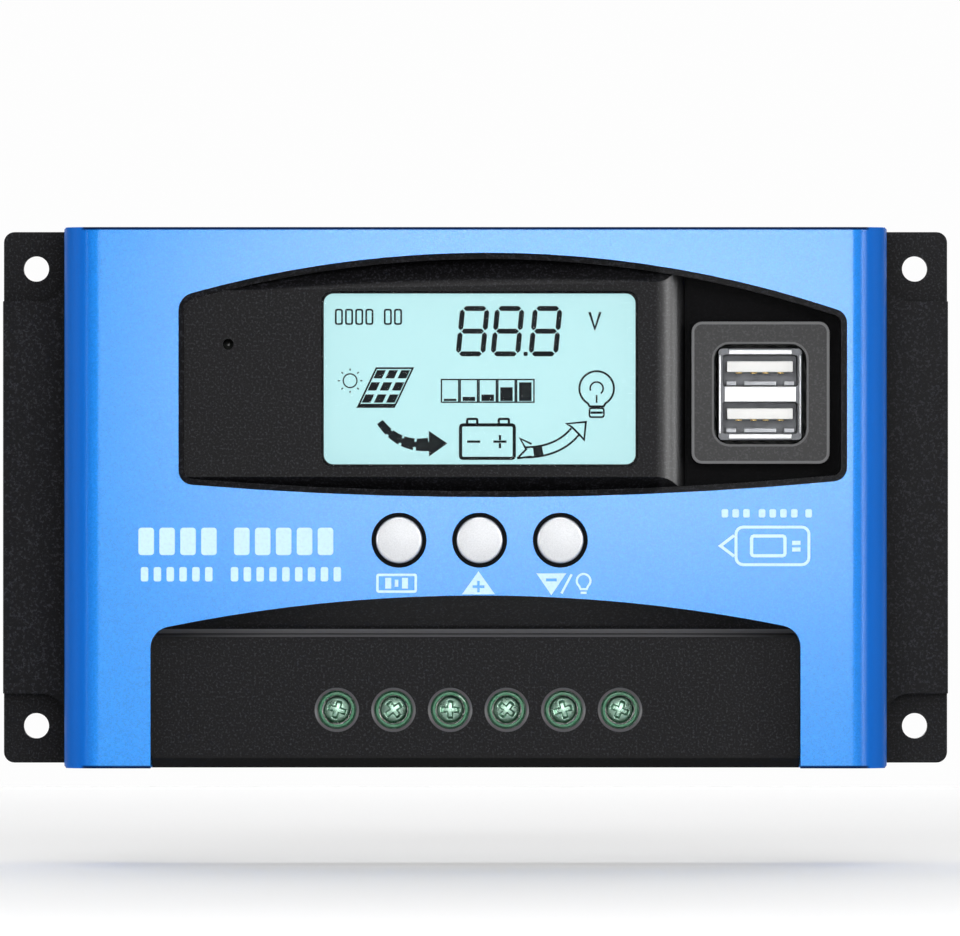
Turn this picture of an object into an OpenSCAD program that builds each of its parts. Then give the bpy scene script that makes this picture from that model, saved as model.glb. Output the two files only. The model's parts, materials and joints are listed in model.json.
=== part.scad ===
// Wall-mounted solar charge controller.
// Every part is drawn lying on its back: x to the right, y up the wall, z out of the wall.
// stand() then turns it upright, so that the wall is the plane Y = 0 and the face looks along -Y.

/* [Case] */
// Width across the four mounting ears
case_w = 160; // [150:1:170]
// Height of the mounting ears
case_h = 90; // [88:0.5:90]
// Depth from the wall to the front face
case_d = 44; // [44:0.5:48]
// Width of the body at the foot of the cover
body_w = 139; // [138:0.5:140]
// Height of the body
body_h = 90.6; // [90.6:0.2:92]
// Depth of the base tray
base_d = 14; // [14:0.1:14.2]
// Thickness of the moulded walls
wall_t = 2; // [1.8:0.1:2.2]
// Radius of the cover's long side edges
side_r = 5.6; // [4:0.2:6]
// Lean of the cover's side walls, in degrees
draft = 2; // [0:0.5:3]

/* [Mounting] */
// Hole spacing across
hole_dx = 149; // [145:0.5:150]
// Hole spacing up
hole_dy = 77.5; // [76:0.5:78]
// Diameter of the mounting holes
hole_d = 4.3; // [3.5:0.1:5]
// Thickness of an ear
ear_t = 3.2; // [2.5:0.1:4]
// Height of an ear
ear_h = 11.8; // [11:0.2:13]
// Thickness of the wing between two ears
wing_t = 9; // [9:0.5:12]

/* [Display] */
// Width of the display window
window_w = 53.2; // [48:0.2:53.2]
// Height of the display window
window_h = 29.6; // [26:0.2:29.6]
// Place of the window's centre across
window_x = 0.7; // [0:0.1:1]
// Place of the window's centre up
window_y = 19.9; // [19.6:0.1:20]

/* [Keys] */
// Diameter of a key
key_d = 7.7; // [6:0.1:7.8]
// Spacing of the keys
key_pitch = 13.5; // [13:0.1:14]
// How far a key travels
key_travel = 0.5; // [0.2:0.05:0.5]

/* [Terminals] */
// Number of wire terminals
poles = 6; // [6]
// Spacing of the terminals
pitch = 9.5; // [9.5]
// Diameter of a clamp screw's head
screw_head_d = 4.5; // [4:0.1:4.7]
// Diameter of a clamp screw's thread
screw_d = 3; // [2.5:0.1:3]

/* [Hidden] */
$fn = 48;
eps = 0.05;
// clearance between fitted mouldings
gap = 0.12;

// ---- levels above the wall ----
floor_t = 2.4;
fin_tip_z = 0.6;
sink_z = 5;
sink_t = 2.5;
pad_t = 0.3;
tab_t = 1.3;
chip_t = 3.2;
board_z = 13;
board_t = 1.6;
board_top = board_z + board_t;
usb_board_z = 20;
display_board_z = 33.4;
display_top = display_board_z + board_t;
bezel_z = 36.5;
moat_z = 38.5;
ledge_z = case_d - 8;
usb_face_z = case_d - 2.5;
panel_z = case_d - 0.8;
plug_z = case_d - 0.6;
ceiling_z = case_d - wall_t;
panel_back_z = 41.2;
glass_z = 38.3;
lip_z = 41.9;

// ---- places in the face ----
half_w = body_w / 2;
half_h = body_h / 2;
inner_h = half_h - wall_t;
post_x = 63.6;
post_y = 39.4;
post_r = 3.2;
slot_x = 51;
ledge_w = 2;
standoff = [62.4, 22];
sink_fix = [55.8, 30];
key_x = 0.7;
key_y = -7.1;
led = [-41.4, 25.7];
usb = [47.7, 17.35];
usb_w = 14.2;
usb_h = 15.6;
port_w = 12.5;
port_h = 5.12;
port_pitch = 7.9;
port_depth = 12.4;
usb_front = 39.8;
pole_x = 0.5;
pole_y = -35.6;
transistor_x = [-37.5, -12.5, 12.5, 37.5];
cap_at = [[-53, 27], [-53, 8]];
choke_at = [-23, 26];
fuse_x = [-2, 14];
fuse_y = -17;
display_fix = [[-46.2, 8], [-46.2, 31], [31.5, 8], [31.5, 33]];
usb_fix = [[38, 4.5], [58.5, 4.5], [38, 30.7], [58.5, 30.7]];

// ---- clamp: the cage rises around the bar as the screw turns ----
bar_z = 25.4;
bar_t = 1;
cage_w = 7.6;
cage_wall = 0.9;
cage_z = 19.3;
cage_top_z = 28.1;
cage_roof = 1.6;
head_z = 31.4;
head_t = 1.8;
thread_clearance = 0.06;
housing_top = 33;
boss_top = 35.2;
well_r = 2.45;

function pole_at(i) = pole_x + (i - (poles + 1) / 2) * pitch;

// points on an arc, from a0 to a1 degrees, in n steps
function arc(c, r, a0, a1, n) =
    [for (i = [0:n]) c + r * [cos(a0 + (a1 - a0) * i / n), sin(a0 + (a1 - a0) * i / n)]];

// a rectangle with round corners
function round_rect(x0, x1, y0, y1, r) = concat(
    arc([x1 - r, y0 + r], r, -90, 0, 6), arc([x1 - r, y1 - r], r, 0, 90, 6),
    arc([x0 + r, y1 - r], r, 90, 180, 6), arc([x0 + r, y0 + r], r, 180, 270, 6));

// the display opening: two upright sides and two bowed ones, grown by g
recess_l = -49.7;
recess_r = 62.2;
crown = [2, 41 - 185];
crown_r = 185;
keel = [3, 0.1 + 620];
keel_r = 620;
corner_top = 3;
corner_low = 2.4;
// centre of a corner of radius r at x, inside the crown (s = 1) or the keel (s = -1)
function corner_at(x, r, c, big, s) = [x, c[1] + s * sqrt((big - r) * (big - r) - (x - c[0]) * (x - c[0]))];
tl = corner_at(recess_l + corner_top, corner_top, crown, crown_r, 1);
tr = corner_at(recess_r - corner_low, corner_low, crown, crown_r, 1);
bl = corner_at(recess_l + corner_low, corner_low, keel, keel_r, -1);
br = corner_at(recess_r - corner_low, corner_low, keel, keel_r, -1);
function bearing(from, to) = atan2(to[1] - from[1], to[0] - from[0]);
function display_outline(g) = concat(
    arc(crown, crown_r + g, bearing(crown, tr), bearing(crown, tl), 20),
    arc(tl, corner_top + g, bearing(crown, tl), 180, 6),
    arc(bl, corner_low + g, 180, bearing(keel, bl) + 360, 6),
    arc(keel, keel_r + g, bearing(keel, bl) + 360, bearing(keel, br) + 360, 10),
    arc(br, corner_low + g, bearing(keel, br), 0, 6),
    arc(tr, corner_low + g, 0, bearing(crown, tr), 6));

// the terminal opening: one bowed top, open at the foot, grown by g
lower_x = 54.4;
brow = [0.5, -16.35 - 260];
brow_r = 260;
brow_corner = 3.6;
ll = corner_at(-lower_x + brow_corner, brow_corner, brow, brow_r, 1);
lr = corner_at(lower_x - brow_corner, brow_corner, brow, brow_r, 1);
function terminal_outline(g, foot) = concat(
    [[lower_x + g, foot]],
    arc(lr, brow_corner + g, 0, bearing(brow, lr), 6),
    arc(brow, brow_r + g, bearing(brow, lr), bearing(brow, ll), 20),
    arc(ll, brow_corner + g, bearing(brow, ll), 180, 6),
    [[-lower_x - g, foot]]);

module stand() { rotate([90, 0, 0]) children(); }
module slab(x0, x1, y0, y1, z0, z1) { translate([x0, y0, z0]) cube([x1 - x0, y1 - y0, z1 - z0]); }
module post(x, y, r, z0, z1) { translate([x, y, z0]) cylinder(r = r, h = z1 - z0); }
module prism(points, z0, z1) { translate([0, 0, z0]) linear_extrude(z1 - z0) polygon(points); }
module four(x, y) { for (sx = [-1, 1], sy = [-1, 1]) translate([sx * x, sy * y, 0]) children(); }
// a section in y and z, drawn out across x
module across(points, x0, x1) {
    translate([x0, 0, 0]) rotate([90, 0, 90]) linear_extrude(x1 - x0) polygon(points);
}
// a section in x and z, drawn out up y
module upward(points, y0, y1) {
    translate([0, y1, 0]) rotate([90, 0, 0]) linear_extrude(y1 - y0) polygon(points);
}

// ---- base tray: floor, walls, four ears and two wings ----
vent_pitch = 4;
lip_h = 2;
gusset_r = 4;
// one wing, with a hollow curve where it runs into the body above and below
module wing() {
    y = case_h / 2 - ear_h;
    c = [half_w + gusset_r, y + gusset_r];
    prism(concat([[60, -c[1]]], arc([c[0], -c[1]], gusset_r, 180, 90, 8),
                 [[case_w / 2, -y], [case_w / 2, y]], arc(c, gusset_r, 270, 180, 8), [[60, c[1]]]),
          0, wing_t);
}
module tray_outside() {
    prism(round_rect(-half_w, half_w, -half_h, half_h, 1.2), 0, base_d);
    prism(round_rect(-case_w / 2, case_w / 2, -case_h / 2, case_h / 2, 1.8), 0, ear_t);
    for (s = [0, 1]) mirror([s, 0, 0]) wing();
}
module tray_inside() {
    difference() {
        union() {
            slab(wall_t - half_w, half_w - wall_t, -inner_h, inner_h, floor_t, base_d + eps);
            slab(-78.2, 78.2, -31.4, 31.4, floor_t, wing_t - 1.8);
        }
        four(post_x, post_y) post(0, 0, post_r + 0.6, 0, base_d);
        four(standoff[0], standoff[1]) post(0, 0, 2.6, 0, board_z);
        four(sink_fix[0], sink_fix[1]) post(0, 0, 2.4, 0, sink_z);
        for (s = [-1, 1])
            slab(s > 0 ? slot_x : -slot_x - ledge_w, s > 0 ? slot_x + ledge_w : -slot_x,
                 -inner_h, inner_h, floor_t - 1, sink_z);
    }
}
module tray_holes() {
    slab(-slot_x, slot_x, -half_h - 1, half_h + 1, -1, sink_z + eps);
    four(hole_dx / 2, hole_dy / 2) post(0, 0, hole_d / 2, -1, wing_t);
    four(post_x, post_y) {
        post(0, 0, 3.1, -1, 3.2);
        post(0, 0, 1.7, 0, base_d + 1);
    }
    four(standoff[0], standoff[1]) post(0, 0, 1.3, 5, board_z + 1);
    four(sink_fix[0], sink_fix[1]) post(0, 0, 1.3, 1, sink_z + 1);
    for (s = [-1, 1], i = [-7:7])
        slab(s > 0 ? 77 : -81, s > 0 ? 81 : -77, i * vent_pitch - 1, i * vent_pitch + 1, 3, 6.6);
}
module base_tray() {
    lip = half_w - wall_t - 0.3;
    color([0.09, 0.09, 0.1]) {
        difference() {
            tray_outside();
            tray_inside();
            tray_holes();
        }
        // upright lips that locate the cover's side walls
        for (s = [0, 1]) mirror([s, 0, 0])
            upward([[lip - 1.2, base_d - 4], [lip + 0.5, base_d - 4], [lip + 0.5, base_d - 0.3],
                    [lip, base_d - 0.3], [lip, base_d + lip_h], [lip - 1.2, base_d + lip_h]], -18, 18);
    }
}

// ---- heat sink: a plate with upright fins towards the wall ----
fin_pitch = 4.2;
fin_t = 1.5;
module heat_sink() {
    color([0.62, 0.64, 0.66])
    difference() {
        union() {
            slab(-58.4, 58.4, -inner_h + 0.3, inner_h - 0.3, sink_z, sink_z + sink_t);
            for (i = [-11.5:11.5])
                slab(i * fin_pitch - fin_t / 2, i * fin_pitch + fin_t / 2,
                     -inner_h + 0.3, inner_h - 0.3, fin_tip_z, sink_z + 1);
        }
        four(sink_fix[0], sink_fix[1]) post(0, 0, 1.7, sink_z - 1, sink_z + sink_t + 1);
        for (x = transistor_x) post(x, 15, 1.4, sink_z + 0.4, sink_z + sink_t + 1);
    }
}

// ---- front cover: blue shell with rolled side edges ----
function cover_section(t) = let (
    lean = tan(draft) * (case_d - side_r - base_d),
    c = [half_w - lean - side_r, case_d - side_r])
    concat([[half_w - t, base_d]], arc(c, side_r - t, 0, 90, 12),
           arc([-c[0], c[1]], side_r - t, 90, 180, 12), [[t - half_w, base_d]]);
module front_cover() {
    color([0.12, 0.45, 0.85]) {
        difference() {
            upward(cover_section(0), -half_h, half_h);
            difference() {
                translate([0, 0, -eps]) upward(cover_section(wall_t), -inner_h, inner_h);
                four(post_x, post_y) post(0, 0, post_r, base_d + 0.1, case_d - 6);
            }
            four(post_x, post_y) post(0, 0, 1.55, base_d - 1, case_d - 9);
            prism(display_outline(0), ceiling_z - 1, case_d + 1);
            prism(terminal_outline(0, -half_h - 1), base_d - 1, case_d + 1);
            for (i = [-1:1]) post(key_x + i * key_pitch, key_y, 4.6, ceiling_z - 1, case_d + 1);
        }
    }
}

// ---- display bezel: black inset with the display panel and the socket platform ----
shoulder_x = 30.4;
panel_foot = 3.5;
panel_head = 35.5;
panel_tilt = 1.1;
slope_z = moat_z + 0.8;
// the raised panel: a round shoulder on its right, and slopes that fall away above and below it
module panel_block() {
    intersection() {
        upward(concat([[-60, moat_z - 1], [-60, case_d + 1], [shoulder_x, case_d + 1]],
                      arc([shoulder_x, moat_z], panel_z - moat_z, 90, 0, 8),
                      [[shoulder_x + panel_z - moat_z, moat_z - 1]]), -4, 46);
        union() {
            across([[panel_foot, case_d + 1], [panel_foot, panel_z], [-0.4, slope_z], [-4, slope_z],
                    [-4, moat_z - 1], [15, moat_z - 1], [15, case_d + 1]], -60, 60);
            rotate([0, 0, panel_tilt])
                across([[14, case_d + 1], [panel_head, case_d + 1], [panel_head, panel_z],
                        [41.4, slope_z], [46, slope_z], [46, moat_z - 1], [14, moat_z - 1]], -70, 70);
        }
    }
}
module display_bezel() {
    wx = window_w / 2;
    wy = window_h / 2;
    color([0.1, 0.1, 0.11])
    difference() {
        union() {
            intersection() {
                prism(display_outline(2.3), ceiling_z - 2, ceiling_z - eps);
                slab(-60, half_w - 6.3, -3, inner_h - 0.2, 30, case_d);
            }
            prism(display_outline(-gap), bezel_z, plug_z);
            for (p = display_fix) post(p[0], p[1], 1.9, display_top, bezel_z + 1);
        }
        difference() {
            prism(display_outline(-1), moat_z, case_d + 1);
            panel_block();
            prism(round_rect(36.2, 59.3, 5.7, 29.5, 1.8), moat_z - 1, usb_face_z);
        }
        prism(display_outline(-1), panel_z, case_d + 1);
        slab(window_x - 28.2, window_x + 28.2, window_y - 15.1, window_y + 15.1, bezel_z - 1, panel_back_z);
        prism(round_rect(window_x - wx, window_x + wx, window_y - wy, window_y + wy, 2), lip_z, case_d);
        prism(round_rect(window_x - wx + 0.5, window_x + wx - 0.5, window_y - wy + 0.5,
                         window_y + wy - 0.5, 1.6), panel_back_z - 1, case_d);
        slab(-44, -31.5, 7, 33, bezel_z - 1, panel_back_z);
        post(led[0], led[1], 0.9, panel_back_z - 1, case_d);
        prism(round_rect(usb[0] - 7.75, usb[0] + 7.75, usb[1] - 8.4, usb[1] + 8.4, 2.6),
              bezel_z - 1, case_d);
        for (p = display_fix) post(p[0], p[1], 1, display_top - 1, bezel_z + 1.5);
    }
}

// ---- terminal cover: black inset with six screw holes and six wire windows ----
ledge_y = -23.4;
foot_chamfer = 1.6;
module terminal_cover() {
    side_x = lower_x - 0.2;
    color([0.1, 0.1, 0.11])
    difference() {
        union() {
            intersection() {
                prism(terminal_outline(1.8, -inner_h + 0.05), board_top + 0.2, ceiling_z - eps);
                slab(-60, 60, -inner_h + 0.05, 0, 0, case_d);
            }
            intersection() {
                prism(terminal_outline(-gap, -half_h), base_d + eps, ledge_z);
                slab(-60, 60, -half_h, -inner_h + 0.1, 0, case_d);
            }
        }
        intersection() {
            prism(terminal_outline(-gap, -half_h - 2), base_d, case_d + 2);
            across([[-60, ledge_z - foot_chamfer], [-half_h, ledge_z - foot_chamfer],
                    [foot_chamfer - half_h, ledge_z], [ledge_y, ledge_z], [ledge_y + 0.5, ledge_z - 0.9],
                    [-13, 44.6], [-13, 60], [-60, 60]], -60, 60);
        }
        across([[-inner_h, 0], [-inner_h, ledge_z - 2], [ledge_y - 1, ledge_z - 2],
                [ledge_y - 0.6, ledge_z - 3.4], [ledge_y + 1.8, ledge_z - 3.8], [-12, 42.6], [-12, 0]],
               -side_x, side_x);
        for (i = [1:poles]) {
            post(pole_at(i), pole_y, 3.3, ledge_z - 3, ledge_z + 1);
            translate([pole_at(i), pole_y, ledge_z - 0.5]) cylinder(r1 = 3.3, r2 = 3.8, h = 0.5 + eps / 5);
            slab(pole_at(i) - 3.7, pole_at(i) + 3.7, -half_h - 1, -inner_h + 1, 18.8, 26.8);
        }
    }
}

// ---- keys: guide, caps, plungers and switches ----
module button_guide() {
    color([0.05, 0.05, 0.05])
    difference() {
        union() {
            slab(key_x - 19.7, key_x + 19.7, -12.4, -2.6, ceiling_z - 2, ceiling_z - eps);
            for (i = [-1:1]) post(key_x + i * key_pitch, key_y, 4.5, 38.6, case_d - 0.5);
        }
        for (i = [-1:1]) post(key_x + i * key_pitch, key_y, key_d / 2 + 0.1, 38, case_d + 1);
    }
}
cap_top = case_d + 0.5;
flange_z = 37.2;
module key_cap(i) {
    dome = 24;
    color([0.93, 0.93, 0.94]) translate([key_x + i * key_pitch, key_y, 0])
        intersection() {
            union() {
                post(0, 0, key_d / 2, flange_z, cap_top + 1);
                post(0, 0, 4.4, flange_z, flange_z + 1.2);
            }
            translate([0, 0, cap_top - dome]) sphere(r = dome);
        }
}
module plunger(i) {
    color([0.15, 0.15, 0.15])
        post(key_x + i * key_pitch, key_y, 1.6, flange_z - 0.75, flange_z - eps);
}
module key_switches() {
    color([0.2, 0.2, 0.2])
    for (i = [-1:1]) translate([key_x + i * key_pitch, key_y, 0])
        difference() {
            slab(-3, 3, -3, 3, display_top, display_top + 1.6);
            post(0, 0, 1.7, display_top + 0.9, display_top + 2);
        }
}
module status_led() {
    color([0.8, 0.85, 0.8]) translate([led[0], led[1], 0]) {
        post(0, 0, 1.5, display_top + 0.8, 39.4);
        post(0, 0, 1.9, display_top, display_top + 0.8);
        translate([0, 0, 39.4]) intersection() { sphere(r = 1.5); post(0, 0, 1.5, 0, 2); }
    }
}

// ---- display stack ----
module display_window() {
    wx = window_w / 2 - 0.1;
    wy = window_h / 2 - 0.1;
    color([0.8, 0.95, 0.95, 0.3])
        prism(round_rect(window_x - wx, window_x + wx, window_y - wy, window_y + wy, 1.9), lip_z, lip_z + 0.8);
}
module lcd_glass() {
    color([0.7, 0.93, 0.93]) slab(window_x - 27.7, window_x + 27.7, window_y - 14.9, window_y + 14.9, glass_z, 41);
}
module lcd_backlight() {
    color([0.9, 0.95, 0.95])
        slab(window_x - 28, window_x + 28, window_y - 14.9, window_y + 14.9, display_top, glass_z - eps);
}

// ---- circuit boards ----
module display_board() {
    color([0.05, 0.3, 0.15])
    difference() {
        slab(-48.2, 33.5, -12.4, 37.2, display_board_z, display_top);
        for (p = display_fix) post(p[0], p[1], 1.1, display_board_z - 1, display_top + 1);
    }
}
module main_board() {
    color([0.05, 0.3, 0.15])
    difference() {
        slab(-65.3, 65.3, -42.6, 42.6, board_z, board_top);
        four(61, 38.4) slab(-4.5, 4.5, -4.5, 4.5, board_z - 1, board_top + 1);
        four(standoff[0], standoff[1]) post(0, 0, 1.6, board_z - 1, board_top + 1);
        for (i = [1:poles])
            slab(pole_at(i) - 2.6, pole_at(i) + 2.6, pole_y + 5.2, pole_y + 6.6, board_z - 1, board_top + 1);
        for (x = transistor_x, k = [-1:1])
            slab(x + k * 2.54 - 0.6, x + k * 2.54 + 0.6, -2.2, -1.2, board_z - 1, board_top + 1);
    }
}
module usb_board() {
    color([0.05, 0.3, 0.15])
    difference() {
        slab(35.4, 61.2, 1.8, 33.4, usb_board_z, usb_board_z + board_t);
        for (p = usb_fix) post(p[0], p[1], 1.2, usb_board_z - 1, usb_board_z + board_t + 1);
    }
}
module usb_spacers() {
    color([0.85, 0.8, 0.6])
    for (p = usb_fix) {
        post(p[0], p[1], 2.2, board_top, usb_board_z);
        post(p[0], p[1], 1.1, usb_board_z, usb_board_z + board_t);
        post(p[0], p[1], 2, usb_board_z + board_t, usb_board_z + board_t + 1.2);
    }
}

// ---- twin USB socket ----
usb_back = usb_board_z + board_t;
tongue_w = 11.1;
tongue_t = 1.84;
function port_y(s) = usb[1] + s * port_pitch / 2;
function tongue_y(s) = port_y(s) - 0.25;
module usb_shell() {
    color([0.8, 0.8, 0.82])
    difference() {
        prism(round_rect(usb[0] - usb_w / 2, usb[0] + usb_w / 2, usb[1] - usb_h / 2, usb[1] + usb_h / 2, 0.8),
              usb_back, usb_front);
        for (s = [-1, 1])
            slab(usb[0] - port_w / 2, usb[0] + port_w / 2, port_y(s) - port_h / 2, port_y(s) + port_h / 2,
                 usb_front - port_depth, usb_front + 1);
        slab(usb[0] - port_w / 2, usb[0] + port_w / 2, usb[1] - usb_h / 2 + 0.5, usb[1] + usb_h / 2 - 0.5,
             usb_back - 1, usb_front - port_depth + eps);
    }
}
module usb_insulator() {
    color([0.92, 0.92, 0.9]) {
        slab(usb[0] - port_w / 2 + 0.1, usb[0] + port_w / 2 - 0.1, usb[1] - usb_h / 2 + 0.6,
             usb[1] + usb_h / 2 - 0.6, usb_back, usb_front - port_depth);
        for (s = [-1, 1])
            slab(usb[0] - tongue_w / 2, usb[0] + tongue_w / 2, tongue_y(s), tongue_y(s) + tongue_t,
                 usb_front - port_depth - 1, usb_front - 2.2);
    }
}
module usb_contacts() {
    color([0.85, 0.7, 0.3])
    for (s = [-1, 1], x = [-3.5, -1, 1, 3.5])
        slab(usb[0] + x - 0.5, usb[0] + x + 0.5, tongue_y(s) - 0.25, tongue_y(s),
             usb_front - port_depth, usb_front - 3);
}

// ---- wire terminals ----
module terminal_housings() {
    color([0.1, 0.5, 0.25])
    for (i = [1:poles]) translate([pole_at(i), pole_y, 0])
        difference() {
            union() {
                slab(-4.7, 4.7, -7.3, 8.2, board_top, housing_top);
                post(0, 0, 3, housing_top - 1, boss_top);
            }
            slab(-3.95, 3.95, -3.3, 6.8, 19, 31.35);
            slab(-3.1, 3.1, -8, -3, 20, 26);
            slab(-2.5, 2.5, 5.3, 6.5, 10, 20);
            post(0, 0, well_r, 31, boss_top + 1);
        }
}
module terminal_bars() {
    color([0.75, 0.72, 0.66])
    for (i = [1:poles]) translate([pole_at(i), pole_y, 0]) {
        slab(-2.4, 2.4, -2.2, 6.4, bar_z, bar_z + bar_t);
        slab(-2.4, 2.4, 5.4, 6.4, board_z - 1.4, bar_z + bar_t);
    }
}
module clamp_screw(i) {
    color([0.78, 0.8, 0.78]) translate([pole_at(i), pole_y, 0])
    difference() {
        union() {
            post(0, 0, screw_d / 2, bar_z + bar_t + 0.1, head_z + 0.5);
            post(0, 0, screw_head_d / 2, head_z, head_z + head_t);
        }
        for (a = [0, 90]) rotate([0, 0, a]) slab(-1.5, 1.5, -0.35, 0.35, head_z + head_t - 1.1, head_z + head_t + 1);
    }
}
module clamp_cage(i) {
    inner = cage_w / 2 - cage_wall;
    color([0.75, 0.76, 0.75]) translate([pole_at(i), pole_y, 0])
    difference() {
        slab(-cage_w / 2, cage_w / 2, -3, 3, cage_z, cage_top_z);
        slab(-inner, inner, -4, 4, cage_z + 1, cage_top_z - cage_roof);
        post(0, 0, screw_d / 2 + thread_clearance, cage_top_z - 3, cage_top_z + 1);
    }
}

// ---- power stage, between the sink and the main board ----
tab_z = sink_z + sink_t + pad_t;
body_z = tab_z + tab_t;
module power_transistors() {
    color([0.08, 0.08, 0.08]) for (x = transistor_x) slab(x - 5.1, x + 5.1, 2, 11.2, body_z, body_z + chip_t);
}
module transistor_tabs() {
    color([0.7, 0.7, 0.7])
    for (x = transistor_x) difference() {
        slab(x - 5.1, x + 5.1, 2, 17.6, tab_z, body_z);
        post(x, 15, 1.7, tab_z - 1, body_z + 1);
    }
}
module transistor_leads() {
    color([0.75, 0.75, 0.75])
    for (x = transistor_x, k = [-1:1]) translate([x + k * 2.54, 0, 0]) {
        slab(-0.4, 0.4, -1.9, 2, 10.2, 10.7);
        slab(-0.4, 0.4, -1.9, -1.4, 10.2, board_top + 0.8);
    }
}
module thermal_pads() {
    color([0.6, 0.65, 0.7])
    for (x = transistor_x) difference() {
        slab(x - 5.8, x + 5.8, 1.4, 18.2, sink_z + sink_t, tab_z);
        post(x, 15, 1.7, sink_z, body_z);
    }
}
module machine_screw(x, y, r, head_r, tip, seat, top) {
    difference() {
        union() { post(x, y, r, tip, seat + eps); post(x, y, head_r, seat, top); }
        for (a = [0, 90]) translate([x, y, 0]) rotate([0, 0, a])
            slab(-head_r * 0.6, head_r * 0.6, -0.25, 0.25, top - 0.8, top + 1);
    }
}
module transistor_screws() {
    color([0.7, 0.7, 0.72])
        for (x = transistor_x) machine_screw(x, 15, 1.3, 2.6, sink_z + 0.6, body_z, body_z + 1.8);
}

// ---- parts on the main board ----
module capacitors() {
    color([0.07, 0.08, 0.2])
    for (p = cap_at) difference() {
        post(p[0], p[1], 8, board_top, 30.6);
        post(p[0], p[1], 6.8, 30.2, 31);
    }
}
module capacitor_tops() {
    color([0.8, 0.8, 0.82])
    for (p = cap_at) difference() {
        post(p[0], p[1], 6.8, 30.2, 30.5);
        for (a = [0, 90]) translate([p[0], p[1], 0]) rotate([0, 0, a]) slab(-5, 5, -0.15, 0.15, 30.38, 31);
    }
}
module choke_core() {
    color([0.16, 0.16, 0.17]) translate([choke_at[0], choke_at[1], board_top]) difference() {
        cylinder(r = 8.5, h = 11);
        difference() { translate([0, 0, 1.6]) cylinder(r = 9, h = 7.8); cylinder(r = 4.4, h = 20); }
    }
}
module choke_coil() {
    color([0.72, 0.4, 0.2]) translate([choke_at[0], choke_at[1], board_top])
    for (k = [0:5]) translate([0, 0, 2.25 + k * 1.3])
        rotate_extrude() translate([6, 0]) square([3, 1.26], center = true);
}
module fuses() {
    color([0.2, 0.62, 0.3])
    for (x = fuse_x) {
        slab(x - 6.4, x + 6.4, fuse_y - 1.9, fuse_y + 1.9, 20, 27);
        slab(x - 4, x + 4, fuse_y - 1.4, fuse_y + 1.4, 17.6, 20);
    }
}
module fuse_blades() {
    color([0.75, 0.75, 0.75])
    for (x = fuse_x, s = [-1, 1])
        slab(x + s * 5.1 - 0.9, x + s * 5.1 + 0.9, fuse_y - 0.35, fuse_y + 0.35, board_top, 20);
}
chip_at = [6, 14];
module control_chip() {
    color([0.07, 0.07, 0.07])
        slab(chip_at[0] - 5, chip_at[0] + 5, chip_at[1] - 5, chip_at[1] + 5, board_top + 0.1, board_top + 1.5);
}
module chip_legs() {
    color([0.8, 0.8, 0.8]) translate([chip_at[0], chip_at[1], board_top])
    for (a = [0:90:270], k = [-5.5:5.5]) rotate([0, 0, a]) slab(5, 6.4, k * 0.8 - 0.16, k * 0.8 + 0.16, 0, 0.7);
}
module small_chips() {
    color([0.08, 0.08, 0.08]) {
        for (p = [[-8, 2], [22, 6], [24, 22], [-38, -14]])
            slab(p[0] - 2.5, p[0] + 2.5, p[1] - 2, p[1] + 2, board_top, board_top + 1.6);
        for (k = [0:9]) slab(-30 + k * 5, -28.4 + k * 5, -8, -7.2, board_top, board_top + 0.6);
        for (k = [0:6]) slab(12 + k * 3, 13.6 + k * 3, 30, 30.8, board_top, board_top + 0.6);
    }
}
module current_shunt() {
    color([0.7, 0.55, 0.4]) {
        for (x = [34, 46]) slab(x, x + 1.2, -19, -15, board_top, 21);
        slab(34, 47.2, -19, -15, 21, 22.2);
    }
}
header = [-42.75, -1.8];
module header_bodies() {
    color([0.06, 0.06, 0.06]) {
        for (z = [[board_top, 23.1], [30.9, display_board_z]])
            slab(header[0] - 2.2, header[0] + 2.2, header[1] - 7.4, header[1] + 7.4, z[0], z[1]);
        slab(48, 58, 36, 38.5, board_top, 19);
    }
}
module header_pins() {
    color([0.85, 0.75, 0.4])
    for (x = [-1.27, 1.27], k = [-2.5:2.5]) translate([header[0] + x, header[1] + k * 2.54, 0])
        slab(-0.32, 0.32, -0.32, 0.32, 23.1, 30.9);
}

// ---- fasteners ----
module case_screws() {
    color([0.6, 0.6, 0.62])
    four(post_x, post_y) difference() {
        union() { post(0, 0, 2.8, 1.2, 3.2); post(0, 0, 1.5, 3.1, 30); }
        for (a = [0, 90]) rotate([0, 0, a]) slab(-1.6, 1.6, -0.35, 0.35, 0, 2.2);
    }
}
module heat_sink_screws() {
    color([0.6, 0.6, 0.62])
        four(sink_fix[0], sink_fix[1])
            machine_screw(0, 0, 1.25, 2.4, 1.6, sink_z + sink_t, sink_z + sink_t + 1.6);
}
module board_screws() {
    color([0.7, 0.7, 0.72])
        four(standoff[0], standoff[1]) machine_screw(0, 0, 1.25, 2.6, 6, board_top, board_top + 1.7);
}
module display_screws() {
    color([0.7, 0.7, 0.72])
    for (p = display_fix) {
        post(p[0], p[1], 0.95, display_board_z - eps, 37.4);
        post(p[0], p[1], 1.9, display_board_z - 1.2, display_board_z);
    }
}

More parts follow.
